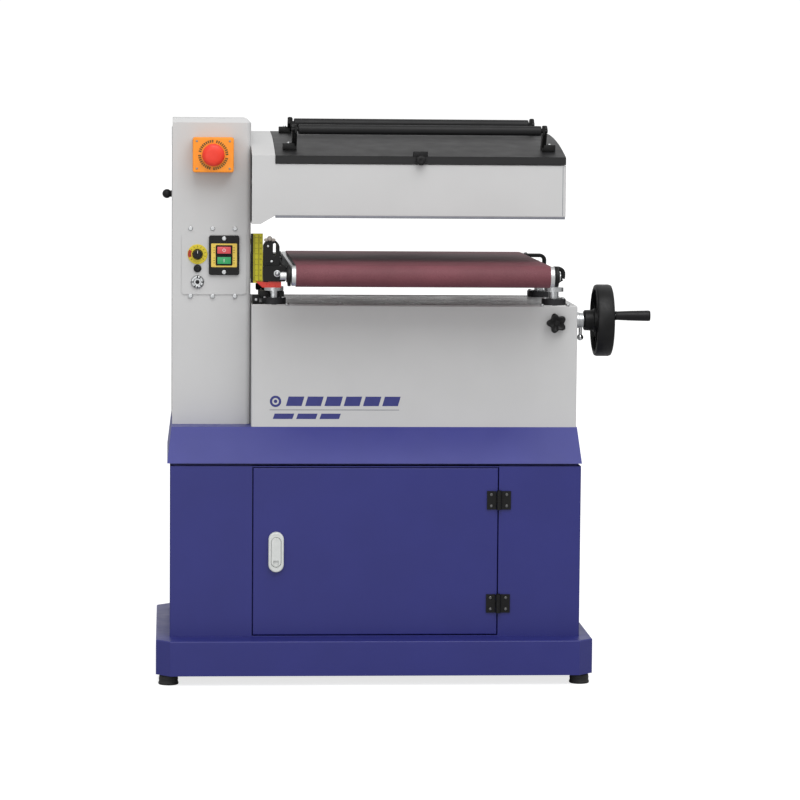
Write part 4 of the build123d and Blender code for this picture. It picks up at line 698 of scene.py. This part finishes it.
def dress_scale():
    """The table height scale: a black edge strip, millimetre marks and centimetre marks."""
    low, high = span_of("height_scale")
    face = low[1]
    left = low[0]
    edge = strokes([((left + 2.4, low[2] + 0.3), (left + 2.4, high[2] - 0.3))], 2.3, face - 0.5, face + 0.3)
    piece("scale_black_edge", edge, black_plastic, "frame")
    levels = np.arange(low[2] + 4.0, high[2] - 3.0, 2.0)
    marks = []
    for index, level in enumerate(levels):
        reach = 5.5 if index % 5 == 0 else 3.0
        marks.append(((left + 5.4, level), (left + 5.4 + reach, level)))
        marks.append(((left + 15.2 - reach * 0.5, level), (left + 16.2, level)))
    piece("scale_marks", strokes(marks, 0.42, face - 0.2, face + 0.2), mark_brown, "frame")
    numbers = []
    for level in levels[::5]:
        numbers += [
            ((left + 17.6, level - 1.6), (left + 17.6, level + 1.6)),
            ((left + 19.4, level - 1.6), (left + 19.4, level + 1.6))
        ]
    piece(
        "scale_numbers", strokes(numbers, 0.35, face - 0.2, face + 0.2), mark_brown, "frame",
    )


# ---------------------------------------------------------------- conveyor


def conveyor_path(radius, half, level, count):
    """A closed path in Y and Z round two rollers: two straight runs and two half circles."""
    turn = np.linspace(-math.pi / 2, math.pi / 2, 28)
    run = np.linspace(-half, half, count)[1:-1]
    rear = np.stack([half + radius * np.cos(turn), level + radius * np.sin(turn)], -1)
    top = np.stack([run[::-1], np.full(len(run), level + radius)], -1)
    front = np.stack([-half - radius * np.cos(turn), level - radius * np.sin(turn)], -1)
    low = np.stack([run, np.full(len(run), level - radius)], -1)
    return np.vstack([rear, top, front, low])


def make_conveyor_belt():
    """The abrasive conveyor belt: the path round both rollers carries a section 1.35 mm thick with stepped
    edges.
    Its lower run hangs by 2.5 * (1 - (y / half) ** 2) millimetres."""
    low, high = span_of("conveyor_belt")
    radius = (high[2] - low[2]) / 2
    half = high[1] - radius
    level = (high[2] + low[2]) / 2
    thick = 1.35
    path = conveyor_path(radius, half, level, 60)
    slope = np.roll(path, -1, 0) - np.roll(path, 1, 0)
    slope /= np.linalg.norm(slope, axis=1)[:, None]
    out = np.stack([slope[:, 1], -slope[:, 0]], -1)
    hang = np.where(
        (path[:, 1] < level - radius + 0.5) & (np.abs(path[:, 0]) < half),
        2.5 * (1 - (path[:, 0] / half) ** 2), 0
    )
    path[:, 1] -= hang
    across = np.concatenate(
        [np.linspace(low[0] + 1, high[0] - 1, 12), np.linspace(high[0] - 1, low[0] + 1, 12)]
    )
    depth = np.concatenate([np.zeros(12), np.full(12, -thick)])
    edge_x = np.concatenate([[low[0]], across[:12], [high[0]], [high[0]], across[12:], [low[0]]])
    edge_d = np.concatenate(
        [[-thick * 0.35], depth[:12], [-thick * 0.35], [-thick * 0.65], depth[12:], [-thick * 0.65]]
    )
    rows = np.zeros((len(path), len(edge_x), 3))
    rows[:, :, 0] = edge_x[None, :]
    rows[:, :, 1] = path[:, :1] + out[:, :1] * edge_d[None, :]
    rows[:, :, 2] = path[:, 1:] + out[:, 1:] * edge_d[None, :]
    piece("belt", lofted(rows, True), belt_cloth, "table", ("conveyor_belt",))


def make_table_rollers():
    """Turned steel rollers with a chamfered face and a stepped axle at each end."""
    for node in ("idler_roller", "drive_roller"):
        low, high = span_of(node)
        y, z = (low[1] + high[1]) / 2, (low[2] + high[2]) / 2
        radius = (high[2] - low[2]) / 2
        belt_low, belt_high = span_of("conveyor_belt")
        left, right = belt_low[0] - 8.0, belt_high[0] + 8.0
        profile = [
            (low[0], 0), (low[0], 7), (left, 7), (left, radius - 1), (left + 1, radius),
            (right - 1, radius), (right, radius - 1), (right, 7), (high[0], 7), (high[0], 0)
        ]
        piece(
            node + "_turned", turned(softened(profile, 0.5, 2), (0, y, z), "X", 64), roller_steel, node,
            (node,)
        )


def make_roller_ends():
    """Bearing plates at the roller ends: a ribbed disc with a cap nut, and an arm back to the table."""
    low, high = span_of("conveyor_belt")
    radius = (high[2] - low[2]) / 2 - 1.5
    level = (low[2] + high[2]) / 2
    half = high[1] - radius - 1.5
    skins, nuts = [], []
    for x, face in ((low[0] - 9.0, -1), (high[0] + 9.0, 1)):
        for side in (-1, 1):
            y = side * half
            profile = [
                (0, 7.1), (0, 18.6), (face * 1.5, 19.0), (face * 5.0, 19.0), (face * 6.0, 17.6),
                (face * 6.0, 12.5), (face * 8.0, 11.6), (face * 8.0, 7.1)
            ]
            profile = [(x + a, r) for a, r in profile]
            skins.append(turned(softened(profile, 0.5, 2), (0, y, level), "X", 48, closed=True))
            y0, y1 = sorted((y - side * 15, y - side * 60))
            x0, x1 = sorted((x, x + face * 7.0))
            skins.append(box_skin((x0, x1), (y0, y1), (level - 9.5, level + 9.5), 1.5))
            nuts.append(
                turned(
                    softened(
                        [
                            (x + face * 8.2, 0), (x + face * 8.2, 6.2), (x + face * 9.6, 6.2),
                            (x + face * 10.8, 4.5), (x + face * 10.8, 0)
                        ],
                        0.4, 2
                    ),
                    (0, y - side * 30, level), "X", 6
                )
            )
    bevelled(
        piece(
            "roller_end_plates", together(*skins), black_coat, "table", ("roller_brackets",)
        ),
        0.4
    )
    piece("roller_end_nuts", together(*nuts), zinc, "table")


def make_take_up_arches():
    """The arched guards over the right roller ends: a bar runs out level, bends down a quarter circle and
    hooks back."""
    low, high = span_of("conveyor_belt")
    level = (low[2] + high[2]) / 2
    half = high[1] - (high[2] - low[2]) / 2
    skins, screws = [], []
    for side, reach in ((-1, 26.0), (1, 46.0)):
        y = side * (half - 22.0)
        x = high[0] + reach
        turn = np.linspace(math.pi / 2, 0, 12)
        top = np.stack([np.linspace(high[0] + 9.0, x - 10, 4), np.full(4, y), np.full(4, level + 14.2)], -1)
        bend = np.stack([x - 9 + 9 * np.cos(turn), np.full(12, y), level + 5.2 + 9 * np.sin(turn)], -1)
        drop = np.array([(x, y, level + 1.0), (x - 0.6, y, level - 4.0)])
        skins.append(bar_along(np.vstack([top, bend, drop]), 7.0, 18.0, (0, 1, 0)))
        sag = np.linspace(0, 1, 8)
        hook = np.stack(
            [x - 1.5 - (reach - 12.0) * sag, np.full(8, y), level - 5.0 - 10.0 * sag ** 1.4], -1
        )
        skins.append(bar_along(hook, 6.0, 16.0, (0, 1, 0)))
        head = [(x - 14.0, 0), (x - 14.0, 3.6), (x - 9.5, 3.6), (x - 8.5, 2.6), (x - 8.5, 0)]
        screws.append(turned(softened(head, 0.4, 2), (0, side * (half - 4.0), level + 1.0), "X", 6))
    bevelled(piece("take_up_arches", together(*skins), black_plastic, "table"), 0.5)
    piece("take_up_screws", together(*screws), zinc, "table")


def dress_guard():
    """Fittings on the black guard: a wing nut on its crown, pan screws, a cap nut on a stud and raised
    ribs."""
    low, high = span_of("table_guard")
    front = low[1] + 6.0
    x, crown = low[0] + 12.0, high[2] + 2.5
    barrel = [(front - 5, 0), (front - 5, 3.4), (front + 1, 4.6), (front + 9, 4.6), (front + 9, 0)]
    hub = turned(softened(barrel, 0.8), (x, 0, crown), "Y", 32)
    lobe = rounded_outline(8.0, 5.6, 2.7)
    wings = [
        slab(lobe, front - 1.0, front + 2.0, "Y", (x + side * 6.4, crown - 2.0), 0.8) for side in (-1, 1)
    ]
    bevelled(piece("guard_wing_nut", together(hub, *wings), dull_steel, "table"), 0.3)
    screws = [
        screw_skin(low[0] + 9.0, front, high[2] - 11.0, 0.5),
        screw_skin(low[0] + 15.5, front, high[2] - 38.5, 0.6)
    ]
    nut_x, nut_z = low[0] + 25.5, GUARD_NUT_LEVEL
    cap = [(-8.0, 0), (-7.2, 2.4), (-5.0, 4.0), (-2.0, 4.4), (-2.0, 6.2), (0.2, 6.2), (0.2, 0)]
    nut = turned(softened([(low[1] + a, r) for a, r in cap], 0.7), (nut_x, 0, nut_z), "Y", 40)
    stud = [
        (nut_x + 5, 0), (nut_x + 5, 2.8), (nut_x + 9, 2.8), (nut_x + 9.4, 4.2), (nut_x + 13, 4.2),
        (nut_x + 13, 0)
    ]
    link = turned(softened(stud, 0.5), (0, low[1] - 2.5, nut_z - 0.5), "X", 32)
    piece("guard_screws", together(*screws, nut, link), zinc, "table")
    ribs = [
        box_skin((low[0] + 1.5, low[0] + 17.0), (front - 1.2, front + 0.5), (z, z + 1.6), 0.6)
        for z in (767.0, 770.5)
    ]
    arm = bar_along(
        np.array(
            [
                (low[0] + 30.0, front + 4.0, 778.0), (low[0] + 34.0, front + 2.0, 768.0),
                (low[0] + 42.0, front - 2.0, 761.0)
            ]
        ),
        3.5, 9.0, (0, 1, 0)
    )
    piece("guard_ribs", together(*ribs, arm), black_coat, "table")


def dress_posts():
    """Screws in the post bearings' flanges, clamp blocks beside the left posts and a small bracket at the
    column's foot."""
    low, high = span_of("screw_posts")
    xs = (low[0] + FLANGE_HALF, high[0] - FLANGE_HALF)
    ys = (low[1] + FLANGE_HALF, high[1] - FLANGE_HALF)
    top = SCREW_SEAT
    screws = []
    for x in xs:
        for y in ys:
            for angle in np.radians([20, 160, 200, 340]):
                head = [
                    (top - 0.3, 0), (top - 0.3, 3.3), (top + 1.8, 3.0), (top + 2.2, 1.6), (top + 1.6, 1.4),
                    (top + 1.6, 0)
                ]
                centre = (x + 18.0 * math.cos(angle), y + 18.0 * math.sin(angle), 0)
                screws.append(turned(softened(head, 0.3, 2), centre, "Z", 16))
    for x, y in ((xs[0] + 24.0, ys[0] - 24.0), (xs[1] + 24.0, ys[0] - 22.0), (xs[1] - 24.0, ys[0] - 22.0)):
        head = [(0, 0), (0, 4.0), (2.4, 3.4), (2.8, 1.8), (2.0, 1.6), (2.0, 0)]
        screws.append(turned(softened(head, 0.3, 2), (x, y, BED_TOP), "Z", 16))
    piece("post_flange_screws", together(*screws), zinc, "frame")
    blocks = []
    for y in ys:
        blocks.append(box_skin((xs[0] - 27.0, xs[0] - 10.5), (y - 8, y + 8), (700.5, 713.8), 2.5))
        blocks.append(box_skin((xs[0] + 10.5, xs[0] + 19.0), (y - 8, y + 8), (700.5, 713.8), 2.5))
    blocks.append(box_skin((-281.5, -268.5), (-146.5, -138.0), (689.7, 707.5), 1.5))
    blocks.append(box_skin((-281.5, -262.0), (-146.5, -120.0), (689.7, 693.0), 1.2))
    piece("post_clamp_blocks", together(*blocks), black_coat, "frame")
    piece("column_foot_screw", screw_skin(-274.5, -146.5, 698.5, 0.6), zinc, "frame")


def dress_return_brackets():
    """The return rollers' brackets: a block with a screw on each foot and a leaning arm up to the axle."""
    low, high = span_of("return_roller_brackets")
    for index, node in enumerate(("front_return_roller", "rear_return_roller")):
        r_low, r_high = span_of(node)
        y, z = (r_low[1] + r_high[1]) / 2, (r_low[2] + r_high[2]) / 2
        base = y + 22.0
        rest = BRACKET_RESTS[index]
        skins, screws = [], []
        for side in (-1, 1):
            edge = low[0] if side < 0 else high[0]
            inner = edge - side * 24.0
            x0, x1 = sorted((edge + side * 1.5, inner))
            skins.append(box_skin((x0, x1), (base - 13, base + 11), (rest, rest + 12.0), 1.2))
            middle = inner + side * 4.7
            climb = np.linspace(0, 1, 6)[:, None]
            path = (1 - climb) * np.array(
                [middle, base, rest + 6.0]
            ) + climb * np.array([middle, y + 1.5, z + 7.0])
            skins.append(bar_along(path, 9.0, 13.0, (0, 1, 0)))
            head = [(rest + 11.8, 0), (rest + 11.8, 3.4), (rest + 13.8, 2.8), (rest + 13.8, 0)]
            screws.append(turned(softened(head, 0.4, 2), (middle + side * 10.0, base - 3.0, 0), "Z", 16))
        name = node.split("_")[0]
        bevelled(piece(name + "_bracket_blocks", together(*skins), black_coat, "hood"), 0.5)
        piece(name + "_bracket_screws", together(*screws), zinc, "hood")


def dress_head():
    """A mid-grey strip along the lower edge of the head's front, and the thin seam beside its end plate."""
    low, high = span_of("head_frame")
    strip = box_skin((STRIP_LEFT, high[0] - 1.0), (low[1] + 0.4, low[1] + 2.4), STRIP_LEVELS, 0.8)
    piece("head_lower_strip", strip, print_grey, "frame")
    x = high[0] - 5.8
    seam = strokes([((x, SEAM_LEVELS[0]), (x, SEAM_LEVELS[1]))], 0.5, low[1] - 0.12, low[1] + 0.2)
    piece("head_end_seam", seam, print_grey, "frame")


# ---------------------------------------------------------------- handwheel, knobs and clamps


def make_handwheel():
    """A deep-rimmed moulded handwheel: rim and web are closed profiles turned about the shaft, and five
    pairs of ribs
    lean from the hub to the rim behind the web."""
    low, high = span_of("handwheel")
    y, z = (low[1] + high[1]) / 2, (low[2] + high[2]) / 2
    back, front = low[0] + 19.0, high[0]
    rim = [
        (back, 60.0), (back + 1.5, 65.5), (back + 5.0, 67.0), (front - 6.0, 67.0), (front - 1.5, 65.5),
        (front, 61.5),
        (front - 0.5, 57.5), (front - 3.5, 55.5), (front - 10.0, 55.0), (front - 10.0, 57.0),
        (back + 1.0, 58.5),
    ]
    web = [
        (front - 10.0, 58.0), (front - 5.0, 58.0), (front - 5.0, 24.0), (front - 2.0, 20.0),
        (front - 2.0, 8.1),
        (low[0], 8.1), (low[0], 17.0), (low[0] + 1.5, 19.0), (low[0] + 17.0, 19.5), (low[0] + 19.0, 21.5),
        (front - 10.0, 24.0),
    ]
    skins = [turned(rim, (0, y, z), "X", 96, closed=True), turned(web, (0, y, z), "X", 96, closed=True)]
    ribs = []
    for base in np.arange(5) * TAU / 5 + 0.3:
        for lean in (-0.26, 0.26):
            start = np.array([20.5 * math.cos(base), 20.5 * math.sin(base)])
            end = np.array([58.5 * math.cos(base + lean), 58.5 * math.sin(base + lean)])
            run = np.linspace(start, end, 6) + np.array([y, z])
            path = np.column_stack([np.full(6, front - 18.5), run])
            ribs.append(bar_along(path, 2.6, 17.0, (1, 0, 0)))
    grip_low, grip_high = span_of("handwheel_grip")
    gy, gz = (grip_low[1] + grip_high[1]) / 2, (grip_low[2] + grip_high[2]) / 2
    boss = turned(
        softened(
            [
                (front - 6.0, 0), (front - 6.0, 11.0), (front - 0.5, 10.0), (front, 9.0), (front, 4.2),
                (front, 0)
            ],
            0.6
        ),
        (0, gy, gz), "X", 40
    )
    bevelled(
        piece(
            "handwheel_moulded", together(*skins, *ribs, boss), black_plastic, "handwheel",
            ("handwheel",)
        ),
        0.6
    )
    start, end = grip_low[0], grip_high[0]
    profile = [
        (start, 0), (start, 4.3), (start, 8.0), (start + 1.5, 8.6), (start + 3.0, 8.0), (start + 8.0, 8.3),
        (start + 30.0, 9.2), (end - 3.0, 9.9), (end, 9.3), (end, 5.5), (end - 1.0, 5.0), (end - 1.0, 0)
    ]
    piece(
        "grip_turned", turned(softened(profile, 1.0), (0, gy, gz), "X", 56), black_plastic,
        "handwheel_grip", ("handwheel_grip",)
    )


def make_star_knob():
    """A five-lobed clamping knob: radius = 13.4 + 5.4 * ((1 + cos 5(a - pi)) / 2) ** 0.85, pulled in over
    a rounded front and back."""
    low, high = span_of("star_knob")
    x, z = STAR_CENTRE
    angle = np.linspace(0, TAU, 120, endpoint=False)
    reach = 13.4 + 5.4 * ((1 + np.cos(5 * (angle - math.pi))) / 2) ** 0.85
    rows = []
    front = low[1]
    for depth, scale in (
        (3.2, 0.0), (3.2, 0.40), (2.6, 0.44), (1.2, 0.62), (0.0, 0.80), (0.6, 0.92), (2.4, 0.985),
        (5.0, 1.0), (10.5, 1.0), (13.0, 0.97), (14.0, 0.9), (14.0, 0.5), (14.0, 0.0)
    ):
        rows.append(
            np.stack(
                [
                    x + reach * scale * np.cos(angle), np.full(120, front + depth),
                    z + reach * scale * np.sin(angle)
                ],
                -1
            )
        )
    neck = turned(
        softened(
            [
                (front + 13.5, 0), (front + 13.5, 7.0), (high[1] - 5.5, 6.5), (high[1] - 5.5, 4.0),
                (high[1], 4.0), (high[1], 0)
            ],
            0.5
        ),
        (x, 0, z), "Y", 32
    )
    cap = turned(
        softened([(front + 2.0, 0), (front + 2.0, 4.0), (front + 3.4, 4.8), (front + 3.4, 0)], 0.4),
        (x, 0, z), "Y", 32
    )
    piece(
        "star_knob_moulded", together(lofted(rows), neck, cap), black_plastic, "star_knob",
        ("star_knob",)
    )


def make_small_knobs():
    """The hood's fluted knob and its catch block, the sleeve on the handwheel shaft and the plated clamp
    ball."""
    low, high = span_of("hood_knob")
    x, z = (low[0] + high[0]) / 2, (low[2] + high[2]) / 2
    block = box_skin((x - 13.5, x + 13.5), (low[1] + 13.6, low[1] + 24.0), (z + 2.0, z + 16.5), 2.0)
    bevelled(piece("hood_catch_block", block, black_plastic, "hood"), 0.5)
    wheel_low, wheel_high = span_of("handwheel")
    near, far = SLEEVE_LEFT, wheel_low[0] - 1.2
    sleeve = [
        (near, 13.1), (near, 14.6), (near + 6, 14.6), (near + 6.6, 13.8), (near + 9, 13.8), (far, 13.4),
        (far, 13.1)
    ]
    centre = (0, (wheel_low[1] + wheel_high[1]) / 2, (wheel_low[2] + wheel_high[2]) / 2)
    piece("collar_sleeve", turned(sleeve, centre, "X", 56, closed=True), zinc, "frame")
    profile = [
        (low[1] + 1.0, 0), (low[1], 5.0), (low[1] + 1.0, 8.6), (low[1] + 3.0, 9.4), (low[1] + 11.0, 9.4),
        (low[1] + 12.4, 8.4), (low[1] + 12.4, 3.0), (high[1], 3.0), (high[1], 0)
    ]
    piece(
        "hood_knob_moulded", turned(softened(profile, 0.6), (x, 0, z), "Y", 96, flutes=16, depth=0.8),
        black_plastic, "hood_knob", ("hood_knob",)
    )
    low, high = span_of("clamp_lever")
    x, y = (low[0] + high[0]) / 2, (low[1] + high[1]) / 2
    turn = np.linspace(-math.pi / 2, math.radians(58), 14)
    ball = [(low[2] + 6.0 + 6.0 * math.sin(t), 6.0 * math.cos(t)) for t in turn]
    ball[0] = (low[2], 0)
    profile = ball + [(low[2] + 13.0, 3.0), (high[2] - 3.0, 3.0), (high[2], 2.2), (high[2], 0)]
    piece(
        "clamp_ball", turned(profile, (x, y, 0), "Z", 40), chrome, "clamp_lever", ("clamp_lever",)
    )


def make_return_rollers():
    """The two tubes on the hood that carry the work back: chamfered ends on stepped axles."""
    for node in ("front_return_roller", "rear_return_roller"):
        low, high = span_of(node)
        y, z = (low[1] + high[1]) / 2, (low[2] + high[2]) / 2
        r = (high[2] - low[2]) / 2
        profile = [
            (low[0], 0), (low[0], 3.4), (low[0] + 0.6, 4.0), (low[0] + 12, 4.0), (low[0] + 12, r - 1.2),
            (low[0] + 13.2, r), (high[0] - 13.2, r), (high[0] - 12, r - 1.2), (high[0] - 12, 4.0),
            (high[0] - 0.6, 4.0), (high[0], 3.4), (high[0], 0)
        ]
        piece(node + "_tube", turned(profile, (0, y, z), "X", 48), tube_coat, node, (node,))


def make_feet():
    """Rubber feet: a ribbed, slightly waisted turned profile, with a plated washer under the plinth."""
    low, high = span_of("feet")
    skins, washers = [], []
    for x in (low[0] + FOOT_RADIUS, high[0] - FOOT_RADIUS):
        for y in (low[1] + FOOT_RADIUS, high[1] - FOOT_RADIUS):
            profile = [
                (0, 0), (0, 17.4), (1.2, 18.5), (4.0, 18.4), (5.0, 17.6), (9.0, 17.2), (10.0, 17.8),
                (15.5, 17.0), (17.4, 16.0), (17.4, 0)
            ]
            skins.append(turned(softened(profile, 0.6), (x, y, 0), "Z", 48))
            washers.append(
                turned(
                    softened([(17.4, 0), (17.4, 12.5), (18.9, 12.5), (18.9, 0)], 0.3), (x, y, 0), "Z", 40
                )
            )
    piece("rubber_feet", together(*skins), tyre, "frame", ("feet",))
    piece("foot_washers", together(*washers), zinc, "frame")


def make_abrasive_wrap():
    """The abrasive strip on the drum: a thin tube whose radius dips by 0.4 mm along a helix with a 118 mm
    pitch."""
    low, high = span_of("abrasive_wrap")
    z = (low[2] + high[2]) / 2
    r = (high[2] - low[2]) / 2
    along = np.linspace(low[0], high[0], 300)
    angle = np.linspace(0, TAU, 128, endpoint=False)
    turnwise = (along[:, None] / 118.0 + angle[None, :] / TAU) % 1.0
    near = np.minimum(turnwise, 1 - turnwise) * 118.0
    radius = r - 0.4 * np.exp(-(near / 1.4) ** 2)
    outer = np.stack(
        [np.repeat(along[:, None], 128, 1), radius * np.cos(angle), z + radius * np.sin(angle)], -1
    )
    inner = np.stack(
        [
            np.repeat(along[::-1][::100, None], 128, 1),
            np.broadcast_to((r - 1.3) * np.cos(angle), (3, 128)),
            np.broadcast_to(z + (r - 1.3) * np.sin(angle), (3, 128))
        ],
        -1
    )
    piece(
        "drum_wrap", lofted(np.vstack([outer, inner]), True), belt_cloth, "drum",
        ("abrasive_wrap",)
    )


# ---------------------------------------------------------------- cabinet fittings and decoration


def dress_cabinet():
    """Two pan screws in each hinge leaf: the fixed leaves ride on the frame, the others on the door."""
    _, high = span_of("door_hinge_leaves")
    pin_x = high[0] - 5.0
    face = DOOR_FACE - HINGE_LEAF_THICK
    levels = [level + dz for level in HINGE_LEVELS for dz in (-10.5, 10.5)]
    for name, reach, body in (("fixed_hinge_screws", 14.0, "frame"), ("door_hinge_screws", -14.0, "door")):
        screws = [screw_skin(pin_x + reach, face, level, 0.72) for level in levels]
        piece(name, together(*screws), chain_steel, body)


def dress_bed():
    """Generic decoration on the front of the bed, printed 0.2 mm proud: a ring, six slanted bars, a rule
    and three short bars."""
    face = span_of("bed_housing")[0][1]
    near, far = face - 0.2, face + 0.2
    skins = [
        window_skin(
            rounded_outline(21, 21, 10.4, 12), rounded_outline(12.5, 12.5, 6.2, 12), near, far,
            BED_MARK_CENTRE
        )
    ]
    skins.append(slab(rounded_outline(6.4, 6.4, 3.1, 8), near, far, "Y", BED_MARK_CENTRE))
    slant = 5.0
    for index in range(6):
        x0 = -219.0 + index * 35.5
        bar = [(x0, 503.0), (x0 + 29.0, 503.0), (x0 + 29.0 + slant, 520.5), (x0 + slant, 520.5)]
        skins.append(slab(bar, near, far, "Y"))
    for index in range(3):
        x0 = -243.0 + index * 43.0
        bar = [(x0, 479.0), (x0 + 36.0, 479.0), (x0 + 36.0 + slant * 0.7, 489.0), (x0 + slant * 0.7, 489.0)]
        skins.append(slab(bar, near, far, "Y"))
    piece("bed_decoration", together(*skins), print_blue, "frame")
    rule = strokes([((-249.0, 495.8), (-10.0, 495.8))], 0.6, near, far)
    piece("bed_rule", rule, print_grey, "frame")


def build():
    """Makes every piece."""
    for maker in (
        dress_stop_switch, dress_switch, dress_dial, dress_fittings, dress_scale, make_conveyor_belt,
        make_table_rollers,
        make_roller_ends, make_take_up_arches, dress_guard, dress_posts, make_handwheel, make_star_knob,
        make_small_knobs,
        make_return_rollers, dress_return_brackets, dress_head, make_feet, make_abrasive_wrap,
        dress_cabinet, dress_bed,
    ):
        maker()


build()

# ---------------------------------------------------------------- floor and light


def make_stage():
    """A wide pale floor."""
    side = 60.0
    mesh = bpy.data.meshes.new("floor")
    corners = [(-side, -side, 0), (side, -side, 0), (side, side, 0), (-side, side, 0)]
    mesh.from_pydata(corners, [], [(0, 1, 2, 3)])
    floor = bpy.data.objects.new("floor", mesh)
    bpy.context.collection.objects.link(floor)
    paint, tree, body, _ = new_material("pale_floor", **{"Roughness": 0.9})
    body.inputs["Base Color"].default_value = (0.5, 0.5, 0.5, 1)
    body.inputs["Specular IOR Level"].default_value = 0.1
    glow = add(tree, "ShaderNodeEmission", {"Color": (1, 1, 1, 1), "Strength": 0.75})
    both = add(tree, "ShaderNodeAddShader")
    tree.links.new(body.outputs[0], both.inputs[0])
    tree.links.new(glow.outputs[0], both.inputs[1])
    rays = add(tree, "ShaderNodeLightPath")
    pick = add(tree, "ShaderNodeMixShader", {"Fac": rays.outputs["Is Camera Ray"]})
    tree.links.new(body.outputs[0], pick.inputs[1])
    tree.links.new(both.outputs[0], pick.inputs[2])
    out = next(n for n in tree.nodes if n.type == "OUTPUT_MATERIAL")
    tree.links.new(pick.outputs[0], out.inputs["Surface"])
    mesh.materials.append(paint)


def area_light(name, place, aim, size, power):
    """A soft square lamp at a place, facing a point."""
    data = bpy.data.lights.new(name, "AREA")
    data.shape = "SQUARE"
    data.size = size
    data.energy = power
    lamp = bpy.data.objects.new(name, data)
    bpy.context.collection.objects.link(lamp)
    lamp.location = place
    away = lamp.location.copy()
    away.x -= aim[0]
    away.y -= aim[1]
    away.z -= aim[2]
    lamp.rotation_mode = "QUATERNION"
    lamp.rotation_quaternion = away.to_track_quat("Z", "Y")


def make_light():
    """A white surround, a large lamp overhead and a fainter one in front."""
    world = bpy.data.worlds.new("surround")
    world.use_nodes = True
    tree = world.node_tree
    tree.nodes.clear()
    seen = add(tree, "ShaderNodeBackground", {"Color": (1, 1, 1, 1), "Strength": 1.05})
    cast = add(tree, "ShaderNodeBackground", {"Color": (1, 1, 1, 1), "Strength": 0.78})
    rays = add(tree, "ShaderNodeLightPath")
    pick = add(tree, "ShaderNodeMixShader", {"Fac": rays.outputs["Is Camera Ray"]})
    tree.links.new(cast.outputs[0], pick.inputs[1])
    tree.links.new(seen.outputs[0], pick.inputs[2])
    out = add(tree, "ShaderNodeOutputWorld")
    tree.links.new(pick.outputs[0], out.inputs["Surface"])
    bpy.context.scene.world = world
    area_light("overhead", (0.3, -2.4, 3.6), (0, -0.1, 0.5), 3.0, 85)
    area_light("front", (-1.6, -5.0, 0.9), (0, 0, 0.5), 2.8, 40)
    view = bpy.context.scene.view_settings
    view.view_transform = "Standard"
    view.look = "None"
    view.exposure = 0.0
    view.gamma = 1.0


make_stage()
make_light()
